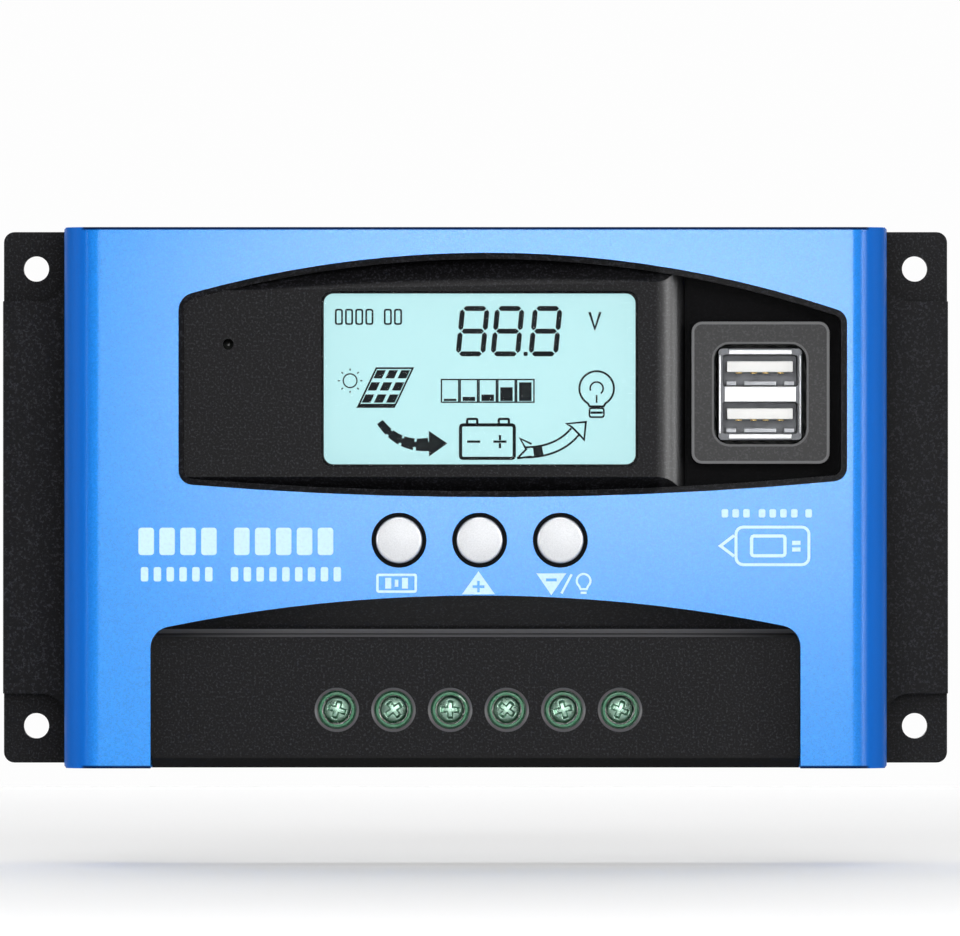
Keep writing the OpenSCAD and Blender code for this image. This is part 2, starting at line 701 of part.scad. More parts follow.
stand() {
    base_tray();
    heat_sink();
    front_cover();
    display_bezel();
    terminal_cover();
    button_guide();
    display_window();
    lcd_glass();
    lcd_backlight();
    display_board();
    main_board();
    usb_board();
    usb_shell();
    usb_insulator();
    usb_contacts();
    key_cap(-1);  // menu_button
    key_cap(0);  // plus_button
    key_cap(1);  // minus_button
    plunger(-1);  // menu_plunger
    plunger(0);  // plus_plunger
    plunger(1);  // minus_plunger
    key_switches();
    status_led();
    terminal_housings();
    terminal_bars();
    power_transistors();
    transistor_tabs();
    transistor_leads();
    thermal_pads();
    transistor_screws();
    capacitors();
    capacitor_tops();
    choke_core();
    choke_coil();
    fuses();
    fuse_blades();
    control_chip();
    chip_legs();
    small_chips();
    current_shunt();
    header_bodies();
    header_pins();
    usb_spacers();
    case_screws();
    heat_sink_screws();
    board_screws();
    display_screws();
    for (i = [1:poles]) {
        clamp_screw(i);
        clamp_cage(i);
    }
}
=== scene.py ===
"""Looks for a wall-mounted solar charge controller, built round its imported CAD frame.

Everything is in metres in the CAD frame: x to the right, y into the wall, z up. Helper functions take
millimetres in the face's own plan: x to the right, h up, d out of the wall, and turn them into the frame.
"""

import json
import math

import bmesh
import bpy
import numpy as np
from bpy.props import FloatProperty, FloatVectorProperty, PointerProperty
from bpy.types import Operator, Panel, PropertyGroup
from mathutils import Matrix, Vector
from mathutils.geometry import tessellate_polygon


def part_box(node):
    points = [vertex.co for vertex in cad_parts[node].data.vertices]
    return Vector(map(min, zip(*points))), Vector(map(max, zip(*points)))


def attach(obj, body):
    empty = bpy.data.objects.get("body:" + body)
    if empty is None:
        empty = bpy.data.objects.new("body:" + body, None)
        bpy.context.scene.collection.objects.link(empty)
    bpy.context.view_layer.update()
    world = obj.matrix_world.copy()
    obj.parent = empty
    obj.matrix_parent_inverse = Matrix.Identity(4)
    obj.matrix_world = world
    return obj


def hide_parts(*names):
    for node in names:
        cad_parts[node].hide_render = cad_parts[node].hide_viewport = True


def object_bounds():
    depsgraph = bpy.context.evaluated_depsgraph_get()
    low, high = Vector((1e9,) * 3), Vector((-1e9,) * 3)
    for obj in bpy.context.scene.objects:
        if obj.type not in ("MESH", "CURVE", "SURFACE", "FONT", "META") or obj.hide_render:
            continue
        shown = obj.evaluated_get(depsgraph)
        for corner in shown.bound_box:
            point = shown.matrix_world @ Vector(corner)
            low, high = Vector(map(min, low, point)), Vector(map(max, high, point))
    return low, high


bl_info = {
    "name": "Charge Controller Looks",
    "version": (1, 0, 0),
    "blender": (4, 5, 0),
    "location": "View3D > Sidebar > Controller",
    "description": "Finishes, keys, screws, display marks and stage for a solar charge controller",
    "category": "Object",
}

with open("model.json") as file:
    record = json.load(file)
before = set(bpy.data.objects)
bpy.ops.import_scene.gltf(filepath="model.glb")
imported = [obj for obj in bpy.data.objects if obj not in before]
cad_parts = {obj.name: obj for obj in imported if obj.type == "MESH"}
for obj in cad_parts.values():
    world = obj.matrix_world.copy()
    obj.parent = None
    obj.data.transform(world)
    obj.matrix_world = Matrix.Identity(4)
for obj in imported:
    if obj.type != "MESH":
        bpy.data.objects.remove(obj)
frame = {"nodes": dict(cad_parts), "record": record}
cad_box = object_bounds()
MM = 0.001
ROOT = "controller"


def low(node):
    """A node's lowest corner in plan millimetres: x, h, d."""
    a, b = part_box(node)
    return np.array([a.x, a.z, -b.y]) / MM


def high(node):
    """A node's highest corner in plan millimetres: x, h, d."""
    a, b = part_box(node)
    return np.array([b.x, b.z, -a.y]) / MM


def middle(node):
    """The middle of a node's box in plan millimetres."""
    return (low(node) + high(node)) / 2


# ---------------------------------------------------------------- shader expressions


class Value:
    """A node's output socket that takes part in arithmetic."""

    def __init__(self, finish, socket):
        self.finish = finish
        self.socket = socket

    def math(self, operation, *rest):
        return self.finish.node("Math", {"operation": operation}, [self, *rest])

    def __add__(self, other):
        return self.math("ADD", other)

    def __sub__(self, other):
        return self.math("SUBTRACT", other)

    def __mul__(self, other):
        return self.math("MULTIPLY", other)

    def __truediv__(self, other):
        return self.math("DIVIDE", other)

    def __pow__(self, other):
        return self.math("POWER", other)

    def __rsub__(self, other):
        return self.finish.node("Math", {"operation": "SUBTRACT"}, [other, self])

    __radd__ = __add__
    __rmul__ = __mul__

    def step(self, start, end):
        """0 below start, 1 above end, and a smooth rise between them."""
        return self.finish.node(
            "MapRange", {"interpolation_type": "SMOOTHSTEP"},
            {"Value": self, "From Min": start, "From Max": end}
        )


class Finish:
    """One procedural material. node() adds any shader node, and the surface call ends it."""

    def __init__(self, name):
        self.material = bpy.data.materials.new(name)
        self.material.use_nodes = True
        self.tree = self.material.node_tree
        self.tree.nodes.clear()
        self.place = self.node("TexCoord", out="Object")

    def node(self, kind, settings=None, inputs=None, out=0):
        made = self.tree.nodes.new("ShaderNode" + kind)
        for key, value in (settings or {}).items():
            setattr(made, key, value)
        pairs = inputs.items() if isinstance(inputs, dict) else enumerate(inputs or [])
        for key, value in pairs:
            if isinstance(value, Value):
                self.tree.links.new(value.socket, made.inputs[key])
            elif value is not None:
                made.inputs[key].default_value = value
        return Value(self, made.outputs[out])

    def axis(self, name):
        """One coordinate of the place on the piece, in metres."""
        return self.node("SeparateXYZ", inputs=[self.place], out=name)

    def noise(self, size, detail=3.0, roughness=0.5, stretch=(1, 1, 1)):
        """Cloudy noise whose blobs are about size metres across, or more along a stretched axis."""
        place = self.node("VectorMath", {"operation": "DIVIDE"}, [self.place, stretch])
        inputs = {"Vector": place, "Scale": 1 / size, "Detail": detail, "Roughness": roughness}
        return self.node("TexNoise", inputs=inputs, out="Fac")

    def cells(self, size):
        """Grains about size metres across, each with a grey of its own."""
        made = self.node("TexVoronoi", inputs={"Vector": self.place, "Scale": 1 / size}, out="Color")
        return self.node("SeparateColor", inputs=[made])

    def mix(self, amount, first, second):
        """The first colour where amount is 0, the second where it is 1."""
        made = self.tree.nodes.new("ShaderNodeMix")
        made.data_type = "RGBA"
        slots = [made.inputs[0], made.inputs[6], made.inputs[7]]
        for slot, value in zip(slots, (amount, first, second)):
            if isinstance(value, Value):
                self.tree.links.new(value.socket, slot)
            else:
                slot.default_value = value if slot is slots[0] else opaque(value)
        return Value(self, made.outputs[2])

    def bump(self, height, distance, strength=1.0):
        return self.node("Bump", inputs={"Height": height, "Distance": distance, "Strength": strength},
                         out="Normal")

    def surface(self, **inputs):
        """Ends the material with a Principled shader. Underscores in the names stand for spaces."""
        named = {key.replace("_", " "): value for key, value in inputs.items()}
        for key in ("Base Color", "Emission Color"):
            if key in named and not isinstance(named[key], Value):
                named[key] = opaque(named[key])
        made = self.node("BsdfPrincipled", inputs=named)
        out = self.tree.nodes.new("ShaderNodeOutputMaterial")
        self.tree.links.new(made.socket, out.inputs[0])
        return self.material


def opaque(colour):
    return (*tuple(colour)[:3], 1.0)


def shade(colour, factor):
    """The same colour made lighter or darker."""
    return tuple(min(1.0, c * factor) for c in tuple(colour)[:3])


# ---------------------------------------------------------------- surfaces from arrays


def out_of_plan(points):
    """Plan millimetres (x, h, d) to frame metres (x, y, z) = (x, -d, h)."""
    p = np.asarray(points, float)
    return np.stack([p[..., 0], -p[..., 2], p[..., 1]], -1) * MM


class Form:
    """Gathers grids and flat caps in plan millimetres, and makes one mesh of them."""

    def __init__(self):
        self.points = []
        self.faces = []
        self.count = 0

    def grid(self, points, wrap_u=False, wrap_v=False):
        """A surface that is a function of two parameters, sampled as points[u, v]; each cell is one face."""
        points = np.asarray(points, float)
        nu, nv = points.shape[:2]
        index = self.count + np.arange(nu * nv).reshape(nu, nv)
        u = np.arange(nu if wrap_u else nu - 1)
        v = np.arange(nv if wrap_v else nv - 1)
        a = index[np.ix_(u, v)]
        b = index[np.ix_((u + 1) % nu, v)]
        c = index[np.ix_((u + 1) % nu, (v + 1) % nv)]
        d = index[np.ix_(u, (v + 1) % nv)]
        self.faces += np.stack([a, b, c, d], -1).reshape(-1, 4).tolist()
        self.points.append(points.reshape(-1, 3))
        self.count += nu * nv
        return index

    def cap(self, ring, reverse=False):
        """One flat face on a ring of points that are already in the form."""
        ring = [int(i) for i in ring]
        self.faces.append(ring[::-1] if reverse else ring)

    def piece(self, name, smooth=False):
        """The mesh, its doubles merged and its faces turned outwards, as a piece at the origin."""
        mesh = bpy.data.meshes.new(name)
        mesh.from_pydata(out_of_plan(np.concatenate(self.points)).tolist(), [], self.faces)
        made = bpy.data.objects.new(name, mesh)
        bpy.context.scene.collection.objects.link(made)
        work = bmesh.new()
        work.from_mesh(mesh)
        bmesh.ops.remove_doubles(work, verts=work.verts, dist=2e-7)
        bmesh.ops.recalc_face_normals(work, faces=work.faces)
        work.to_mesh(mesh)
        work.free()
        mesh.polygons.foreach_set("use_smooth", np.full(len(mesh.polygons), smooth))
        mesh.update()
        return made

    def turned(self, profile, centre, n=64):
        """A profile of (radius, d) pairs carried round the axis at centre:
        (x, h) = centre + radius (cos t, sin t)."""
        t = np.linspace(0, 2 * np.pi, n, endpoint=False)[:, None]
        r, d = np.asarray(profile, float).T
        x = centre[0] + r * np.cos(t)
        h = centre[1] + r * np.sin(t)
        return self.grid(np.stack([x, h, np.broadcast_to(d, x.shape)], -1), wrap_u=True)

    def panel(self, outlines, d):
        """A flat face at depth d inside the first outline and outside the others, cut into triangles."""
        loops = [np.c_[np.asarray(o, float), np.full(len(o), d)] for o in outlines]
        triangles = tessellate_polygon([[Vector(p) for p in loop] for loop in loops])
        start = self.count
        points = np.concatenate(loops)
        self.points.append(points)
        self.count += len(points)
        self.faces += [[start + i for i in t] for t in triangles]

    def swept(self, outline, profile):
        """A profile of (inset, d) pairs carried round a closed outline: each point of the outline moves
        along its own normal by the inset. Normals are the mean of the two neighbouring edges' normals."""
        outline = np.asarray(outline, float)
        along = np.roll(outline, -1, 0) - np.roll(outline, 1, 0)
        along /= np.linalg.norm(along, axis=1)[:, None]
        inward = np.c_[-along[:, 1], along[:, 0]]
        inset, d = np.asarray(profile, float).T
        xy = outline[:, None] + inward[:, None] * inset[None, :, None]
        points = np.concatenate([xy, np.broadcast_to(d[None, :, None], (*xy.shape[:2], 1))], -1)
        self.grid(points, wrap_u=True)
        return points

    def plate(self, outline, back, front):
        """A flat shape with the given outline, as thick as front - back."""
        outline = np.asarray(outline, float)
        ring = np.stack([np.c_[outline, np.full(len(outline), d)] for d in (back, front)], 1)
        index = self.grid(ring, wrap_u=True)
        self.cap(index[:, 1])
        self.cap(index[:, 0], reverse=True)

    def ribbon(self, line, width, back, front, closed=False):
        """A band of the given width along a line: each point moved half the width to both sides along the
        mean of its neighbours' normals, lengthened at corners by one over the cosine of half the turn."""
        line = np.asarray(line, float)
        ahead = np.roll(line, -1, 0) - line
        behind = line - np.roll(line, 1, 0)
        if not closed:
            ahead[-1] = behind[-1]
            behind[0] = ahead[0]
        ahead /= np.linalg.norm(ahead, axis=1)[:, None]
        behind /= np.linalg.norm(behind, axis=1)[:, None]
        mean = ahead + behind
        mean /= np.linalg.norm(mean, axis=1)[:, None]
        stretch = 1 / np.clip((mean * ahead).sum(1), 0.5, 1)
        side = np.c_[-mean[:, 1], mean[:, 0]] * (np.broadcast_to(width, len(line)) / 2 * stretch)[:, None]
        corners = [np.c_[line + s * side, np.full(len(line), d)]
                   for s, d in ((1, front), (-1, front), (-1, back), (1, back))]
        index = self.grid(np.stack(corners, 1), wrap_u=closed, wrap_v=True)
        if not closed:
            self.cap(index[0])
            self.cap(index[-1], reverse=True)


def round_corner(centre, radius, start, end, n=6):
    """Points on an arc from start to end degrees."""
    a = np.radians(np.linspace(start, end, n))
    return np.c_[centre[0] + radius * np.cos(a), centre[1] + radius * np.sin(a)]


def round_box(x0, x1, h0, h1, r, n=5):
    """A rectangle's outline with round corners."""
    return np.concatenate([
        round_corner((x1 - r, h0 + r), r, -90, 0, n), round_corner((x1 - r, h1 - r), r, 0, 90, n),
        round_corner((x0 + r, h1 - r), r, 90, 180, n), round_corner((x0 + r, h0 + r), r, 180, 270, n)])


def circle(x, h, r, n=32):
    return round_corner((x, h), r, 0, 360 * (1 - 1 / n), n)


# ---------------------------------------------------------------- sizes and colours a user would change


def length(name, description, default):
    return FloatProperty(name=name, description=description, default=default, min=0, unit="LENGTH",
                         subtype="DISTANCE")


def paint(name, description, default):
    return FloatVectorProperty(name=name, description=description, default=default, size=3, min=0, max=1,
                               subtype="COLOR")


class ControllerSizes(PropertyGroup):
    """Small sizes that finish the moulded parts."""

    cover_edge: length("Cover edge", "Width of the rounded edges of the blue cover", 0.00055)
    tray_edge: length("Base edge", "Width of the rounded edges of the base", 0.0005)
    inset_edge: length("Inset edge", "Width of the rounded edges of the black insets", 0.00035)
    ink_height: length("Print height", "How far the print stands on the cover", 0.00003)
    segment_width: length("Segment width", "Width of a digit's segments", 0.00084)
    camera_distance: length("Camera distance", "From the camera to the wall plane", 3.0)


class ControllerColours(PropertyGroup):
    """The colours of the finishes."""

    cover: paint("Cover", "Blue paint of the front cover", (0.014, 0.275, 0.86))
    moulding: paint("Moulding", "Black plastic of the base and the insets", (0.0042, 0.0042, 0.0050))
    print: paint("Print", "Pale ink of the marks on the cover", (0.62, 0.86, 1.0))
    display: paint("Display", "Light of the display", (0.50, 0.86, 0.89))
    segment: paint("Segments", "Dark marks of the display", (0.002, 0.004, 0.006))
    key: paint("Keys", "Silver plastic of the keys", (0.63, 0.64, 0.66))
    # the screws' steel is tinted green: painted reflection of the green terminal housings round them
    steel: paint("Steel", "Clamp screws", (0.32, 0.49, 0.39))
    terminal: paint("Terminals", "Green plastic of the terminals", (0.004, 0.125, 0.046))
    board: paint("Boards", "Solder resist of the circuit boards", (0.008, 0.10, 0.035))
    aluminium: paint("Aluminium", "Heat sink", (0.60, 0.62, 0.64))


def sizes():
    return bpy.context.scene.controller_sizes


def colours():
    return bpy.context.scene.controller_colours


# ---------------------------------------------------------------- finishes


def moulded_black(name, colour, roughness=0.5, grain=0.0004, depth=0.00005, coat_and_painted_light=None):
    """Black plastic from a spark-eroded mould: fine pits, lighter on their lips, faint clouds, and a thin
    glossy skin. The coat_and_painted_light function gives the skin's weight, how far the tone turns pale
    grey, which is painted highlight, and how far it turns to a plain darker black, which is painted shade.
    Its bands are chosen."""
    f = Finish(name)
    pits = f.noise(grain, 3, 0.7)
    clouds = f.noise(0.018, 2)
    skin, pale, painted_shade = coat_and_painted_light(f) if coat_and_painted_light else (0.2, 0.0, 0.0)
    tone = f.mix(pits.step(0.50, 0.66), shade(colour, 0.5), shade(colour, 5.0))
    # painted shade: the tone darkened towards plain black where the finish asks for it
    tone = f.mix(painted_shade, tone, shade(colour, 0.35))
    # painted highlight: the tone turned pale grey where the finish asks for it
    tone = f.mix(pale, tone, (0.11, 0.11, 0.115))
    rough = roughness + (clouds - 0.5) * 0.16 + (0.5 - pits) * 0.2
    return f.surface(Base_Color=tone, Roughness=rough, Specular_IOR_Level=0.05, Coat_Weight=skin,
                     Coat_Roughness=0.40, Normal=f.bump(pits, depth, 0.9))


def outside_box(f, centre, half, corner):
    """How far a place lies outside an upright rectangle with round corners, in metres, and negative
    inside it: the distance to the rectangle shrunk by the corner radius, less that radius."""
    across = (f.axis("X") - centre[0]).math("ABSOLUTE") - (half[0] - corner)
    up = (f.axis("Z") - centre[1]).math("ABSOLUTE") - (half[1] - corner)
    beyond = (across.math("MAXIMUM", 0.0) ** 2 + up.math("MAXIMUM", 0.0) ** 2) ** 0.5
    return beyond + across.math("MAXIMUM", up).math("MINIMUM", 0.0) - corner


# the socket's platform and the opening in it, along which the painted highlight line runs: centre, half size
# and corner radius, in metres
PLATFORM_EDGE = (0.04775, 0.0176), (0.01155, 0.0119), 0.0018
PLATFORM_OPENING = (0.0477, 0.01735), (0.00775, 0.0084), 0.0026


def inset_coat_and_painted_light(f):
    """The display inset: near-black on the floor of its moat and its slopes, which is painted shade, fair on
    the face, glossiest on the socket's platform and the shoulder beside it. A pale line along the platform's
    edge and round its opening is a painted highlight, standing for the light caught by their fine rounding."""
    depth = 0 - f.axis("Y")
    raised = depth.step(0.0388, 0.0414)
    lip = depth.step(0.04325, 0.04335)
    side = f.axis("X").step(0.0300, 0.0315)
    rim = outside_box(f, *PLATFORM_EDGE)
    hole = outside_box(f, *PLATFORM_OPENING)
    # painted highlight: a pale line along the platform's rounded edge and round its opening
    edge_highlight = rim.step(-0.00052, -0.00040) * (1 - rim.step(-0.00006, 0.0001)) * 0.8
    line = edge_highlight + (1 - hole.step(0.00030, 0.00042)) * 0.55
    front = depth.step(0.0408, 0.0410) * (1 - depth.step(0.0416, 0.0418))
    # returns the coat weight, the painted highlight, and the painted shade of the moat and its slopes
    return raised * (1 - lip * 0.8) * (0.2 + side * 0.68), line * front, (1 - raised) * 0.9


def guide_coat_and_painted_shade(f):
    """The key guide's rings: dull, and near-black as painted shade in the gap round each key."""
    return 0.02, 0.0, 0.9


def ledge_coat_and_painted_light(f):
    """The terminal cover: pale chamfers half a millimetre below the ledge, a painted highlight, which fade
    out at its foot, and a slope above the ledge that is glossier towards its middle. Along its foot the black
    is darkened further as painted shade."""
    depth = 0 - f.axis("Y")
    foot = (0 - f.axis("Z")).step(0.0430, 0.0436)
    # painted highlight on the chamfers below the ledge, kept off the foot
    chamfer_highlight = depth.step(0.0351, 0.0353) * (1 - depth.step(0.03588, 0.03597)) * (1 - foot)
    slope = depth.step(0.0362, 0.0368) * (1 - f.axis("X").math("ABSOLUTE").step(0.008, 0.052))
    # the foot's darker black is painted shade
    return 0.2 + chamfer_highlight * 0.8 + slope * 0.5, chamfer_highlight, foot * 0.8


def satin_paint(name, colour):
    """Metallic paint: fine flakes of lighter and darker blue, with a satin coat on the face only. Towards the
    rolled sides the coat ends and the blue is darkened as painted shade, and it is painted nearly navy on the
    face's top and bottom rims, painted shade where they turn away from the light."""
    f = Finish(name)
    flakes = f.cells(0.00018)
    clouds = f.noise(0.0005, 3, 0.6)
    base = f.mix(flakes, shade(colour, 0.84), shade(colour, 1.16))
    pale = tuple(c + 0.05 for c in shade(colour, 1.25))
    tone = f.mix(clouds.step(0.42, 0.72) * 0.2, base, pale)
    roll = f.axis("X").math("ABSOLUTE").step(*EDGES.roll)
    walls = f.axis("Z").math("ABSOLUTE").step(*EDGES.rim)
    rim = walls * (0 - f.axis("Y")).step(*EDGES.front)
    # painted shade: the blue darkened on the rolled sides
    tone = f.mix(roll * 0.92, tone, (colour[0] * 0.1, colour[1] * 0.42, colour[2] * 0.62))
    # painted shade: the face's top and bottom rims turned nearly navy
    tone = f.mix(rim, tone, (0.001, 0.012, 0.06))
    rough = 0.46 + (flakes - 0.5) * 0.14
    return f.surface(Base_Color=tone, Roughness=rough, Specular_IOR_Level=0.02,
                     Coat_Weight=(1 - roll) * (1 - walls), Coat_Roughness=0.18,
                     Normal=f.bump(flakes * 0.6 + clouds, 0.000014, 0.5))


def plated_metal(name, colour, roughness=0.24, scratch=(1, 1, 6), wear=0.5):
    """Plated steel with fine scratches along one axis and dull clouds."""
    f = Finish(name)
    lines = f.noise(0.00012, 3, 0.6, stretch=scratch)
    clouds = f.noise(0.0016, 3)
    tone = f.mix(clouds.step(0.45, 0.8) * wear, colour, shade(colour, 0.55))
    rough = roughness + lines * 0.14 + (clouds - 0.5) * 0.12
    return f.surface(Base_Color=tone, Metallic=1.0, Roughness=rough, Normal=f.bump(lines, 0.000008, 0.5))


def extruded_aluminium(name, colour):
    """Extruded metal: fine lines that run up the fins, and a dull oxide bloom."""
    f = Finish(name)
    lines = f.noise(0.00018, 4, 0.65, stretch=(1, 1, 40))
    bloom = f.noise(0.009, 3)
    tone = f.mix(bloom.step(0.35, 0.75), colour, shade(colour, 0.88))
    return f.surface(Base_Color=tone, Metallic=0.95, Roughness=0.30 + lines * 0.2,
                     Normal=f.bump(lines, 0.00002, 0.6))


def plain_plastic(name, colour, roughness=0.4, variation=0.15, grain=0.0004, coat=0.0):
    """Moulded plastic with slight flow clouds and a fine skin."""
    f = Finish(name)
    clouds = f.noise(0.006, 3)
    skin = f.noise(grain, 3)
    tone = f.mix(clouds, shade(colour, 1 - variation), shade(colour, 1 + variation))
    return f.surface(Base_Color=tone, Roughness=roughness + (skin - 0.5) * 0.12, Coat_Weight=coat,
                     Normal=f.bump(skin, 0.00001, 0.5))


def key_silver(name, colour):
    """Silver-sprayed key caps: a fine metallic grain, with soft clouds of duller and glossier spray."""
    f = Finish(name)
    grain = f.cells(0.00012)
    rub = f.noise(0.0025, 3)
    tone = f.mix(grain, shade(colour, 0.93), shade(colour, 1.08))
    return f.surface(Base_Color=tone, Metallic=0.25, Roughness=0.34 + grain * 0.08 + rub * 0.08,
                     Normal=f.bump(grain, 0.000004, 0.4))


def lit_display(name, colour):
    """A lit display: even pale light, a little brighter in the middle, with faint diffuser clouds."""
    f = Finish(name)
    centre = middle("lcd_glass")
    across = (f.axis("X") - centre[0] * MM) / 0.034
    up = (f.axis("Z") - centre[1] * MM) / 0.022
    fall = across * across + up * up
    clouds = f.noise(0.004, 2)
    light = f.mix(fall.step(0.0, 1.6) * 0.5 + (clouds - 0.5) * 0.06,
                  shade(colour, 1.04), shade(colour, 0.86))
    return f.surface(Base_Color=shade(colour, 0.2), Roughness=0.35, Emission_Color=light,
                     Emission_Strength=0.83)


def clear_window(name):
    """Clear acrylic with a few hair scratches."""
    f = Finish(name)
    hair = f.noise(0.00025, 2, 0.5, stretch=(14, 1, 1))
    return f.surface(Base_Color=(0.02, 0.03, 0.03), Roughness=0.06 + hair.step(0.62, 0.8) * 0.12, Alpha=0.06,
                     Specular_IOR_Level=0.1)


def circuit_board(name, colour, pad_size=0.18):
    """Solder resist over copper: tracks read as lighter lanes, with tinned pads."""
    f = Finish(name)
    lanes = f.node("TexWave", {"bands_direction": "DIAGONAL"},
                   {"Vector": f.place, "Scale": 260.0, "Distortion": 9.0, "Detail": 1.0,
                    "Detail Scale": 0.4}, out="Fac")
    pads = f.node("TexVoronoi", inputs={"Vector": f.place, "Scale": 330.0}, out="Distance")
    tracks = lanes.step(0.55, 0.62)
    pad = 1 - pads.step(pad_size - 0.02, pad_size + 0.001)
    tone = f.mix(pad, f.mix(tracks, colour, shade(colour, 1.9)), (0.55, 0.54, 0.5))
    return f.surface(Base_Color=tone, Roughness=0.42 - tracks * 0.1, Metallic=pad * 0.8,
                     Normal=f.bump(tracks * 0.6 + pad, 0.00003, 0.6))


def printed_ink(name, colour):
    """Screen-printed ink with thin spots."""
    f = Finish(name)
    thin = f.noise(0.0005, 3)
    tone = f.mix(thin.step(0.4, 0.75) * 0.35, colour, shade(colour, 0.72))
    return f.surface(Base_Color=tone, Roughness=0.45 + thin * 0.1, Specular_IOR_Level=0.12)


def wound_copper(name):
    """Enamelled copper in side-by-side turns: ridges across the coil."""
    f = Finish(name)
    turns = f.node("TexWave", {"bands_direction": "X"},
                   {"Vector": f.place, "Scale": 380.0, "Distortion": 0.4}, out="Fac")
    tone = f.mix(turns, (0.30, 0.09, 0.03), (0.80, 0.36, 0.14))
    return f.surface(Base_Color=tone, Metallic=0.8, Roughness=0.26 + turns * 0.1,
                     Normal=f.bump(turns, 0.0002, 0.8))


class EDGES:
    """Where the cover's sides roll, and where its top and bottom rims lie, in metres from the middle and
    the wall."""

    roll = (0.0622, 0.0662)
    rim = (0.0447, 0.0450)
    front = (0.0430, 0.0435)


FINISHED = {}


def finishes():
    """Every finish by the name of its material slot in the record, made once."""
    if FINISHED:
        return FINISHED
    c = colours()
    black = tuple(c.moulding)
    FINISHED.update({
        "black_abs": moulded_black("black_moulding", black),
        "inset_black": moulded_black("black_inset", black, coat_and_painted_light=inset_coat_and_painted_light),
        "guide_black": moulded_black("black_guide", black, coat_and_painted_light=guide_coat_and_painted_shade),
        "ledge_black": moulded_black("black_ledge", black, coat_and_painted_light=ledge_coat_and_painted_light),
        "blue_cover": satin_paint("blue_satin_paint", tuple(c.cover)),
        "clear_lens": clear_window("display_acrylic"),
        "display_glass": lit_display("lit_display", tuple(c.display)),
        "diffuser": plain_plastic("light_diffuser", (0.85, 0.9, 0.9), 0.5),
        "circuit_board": circuit_board("circuit_board", tuple(c.board)),
        "socket_board": circuit_board("socket_board", (0.002, 0.006, 0.004), 0.0),
        # the shell's nickel is coloured near black, far darker than the bright nickel of its bars: painted
        # shade in and round its ports
        "socket_steel": plated_metal("socket_nickel_painted_shade", (0.085, 0.088, 0.094), 0.26, (1, 6, 1), 0.25),
        "socket_spring": plated_metal("socket_spring", (0.34, 0.35, 0.37), 0.34, (6, 1, 1), 0.3),
        "socket_trim": plated_metal("socket_bright_nickel", (0.66, 0.67, 0.68), 0.34, (6, 1, 1), 0.12),
        "socket_plastic": plain_plastic("socket_white_plastic", (0.86, 0.86, 0.84), 0.38, 0.05),
        "gold_contact": plated_metal("gold_flash", (0.80, 0.58, 0.24), 0.2, (1, 6, 1), 0.3),
        "key_plastic": key_silver("key_silver", tuple(c.key)),
        "black_part": moulded_black("black_component", (0.012, 0.012, 0.012), 0.45, 0.0003, 0.00002),
        "led_epoxy": plain_plastic("lamp_epoxy", (0.02, 0.022, 0.02), 0.12, 0.1, coat=0.4),
        "terminal_plastic": plain_plastic("terminal_green", tuple(c.terminal), 0.2, 0.3, 0.0006, coat=0.9),
        "tinned_metal": plated_metal("tinned_metal", (0.72, 0.71, 0.68), 0.3, (1, 1, 8), 0.5),
        "clamp_steel": plated_metal("zinc_clamp", (0.66, 0.68, 0.66), 0.3, (1, 1, 6), 0.6),
        "screw_steel": plated_metal("screw_nickel", (0.52, 0.53, 0.54), 0.26, (1, 1, 1), 0.4),
        # steel tinted green as a painted reflection of the green terminal housings
        "clamp_screw": plated_metal("screw_painted_green_reflection", tuple(c.steel), 0.22, (1, 1, 1), 0.2),
        "sink_aluminium": extruded_aluminium("extruded_aluminium", tuple(c.aluminium)),
        "pad_rubber": plain_plastic("thermal_pad", (0.35, 0.42, 0.5), 0.8, 0.12),
        "capacitor_sleeve": plain_plastic("capacitor_sleeve", (0.012, 0.016, 0.06), 0.25, 0.2, coat=0.4),
        "ferrite": moulded_black("ferrite", (0.03, 0.03, 0.033), 0.7, 0.0002, 0.00006),
        "copper_wire": wound_copper("wound_copper"),
        "fuse_plastic": plain_plastic("fuse_plastic", (0.02, 0.36, 0.09), 0.18, 0.1, coat=0.5),
        "shunt_alloy": plated_metal("shunt_alloy", (0.50, 0.38, 0.30), 0.4, (1, 1, 6), 0.5),
        "nylon": plain_plastic("nylon", (0.80, 0.78, 0.70), 0.5, 0.06),
        "print": printed_ink("pale_print", tuple(c.print)),
        "segment": printed_ink("display_segments", tuple(c.segment)),
    })
    return FINISHED


def dress(obj, name):
    obj.data.materials.clear()
    obj.data.materials.append(finishes()[name])
    return obj


SLOT_OF = {row["node"]: row["material_slot"] for row in frame["record"]["subparts"]}


def carry_over(node, edge=0.0, segments=2, angle=32.0, finish=None, join=True):
    """Gives a CAD node its finish, by its own slot or by the name given. With an edge it also merges the
    node's triangles, joins the flat ones if join is set, and rounds each edge where two faces meet at more
    than the angle. A flat face with many holes must not be joined: it would come back with overlapping
    triangles."""
    obj = frame["nodes"][node]
    dress(obj, finish or SLOT_OF[node])
    if edge:
        weld = obj.modifiers.new("merge", "WELD")
        weld.merge_threshold = 1e-6
        if join:
            flat = obj.modifiers.new("flats", "DECIMATE")
            flat.decimate_type = "DISSOLVE"
            flat.angle_limit = math.radians(0.6)
        bevel = obj.modifiers.new("edges", "BEVEL")
        bevel.width = edge
        bevel.segments = segments
        bevel.limit_method = "ANGLE"
        bevel.angle_limit = math.radians(angle)
        bevel.use_clamp_overlap = True
        bevel.miter_outer = "MITER_ARC"
        smooth = obj.modifiers.new("even", "WEIGHTED_NORMAL")
        smooth.weight = 80
        smooth.keep_sharp = False
    return obj


def new_piece(form, name, body, finish, replaces=(), smooth=False):
    made = form.piece(name, smooth)
    dress(made, finish)
    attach(made, body)
    if replaces:
        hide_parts(*replaces)
    return made


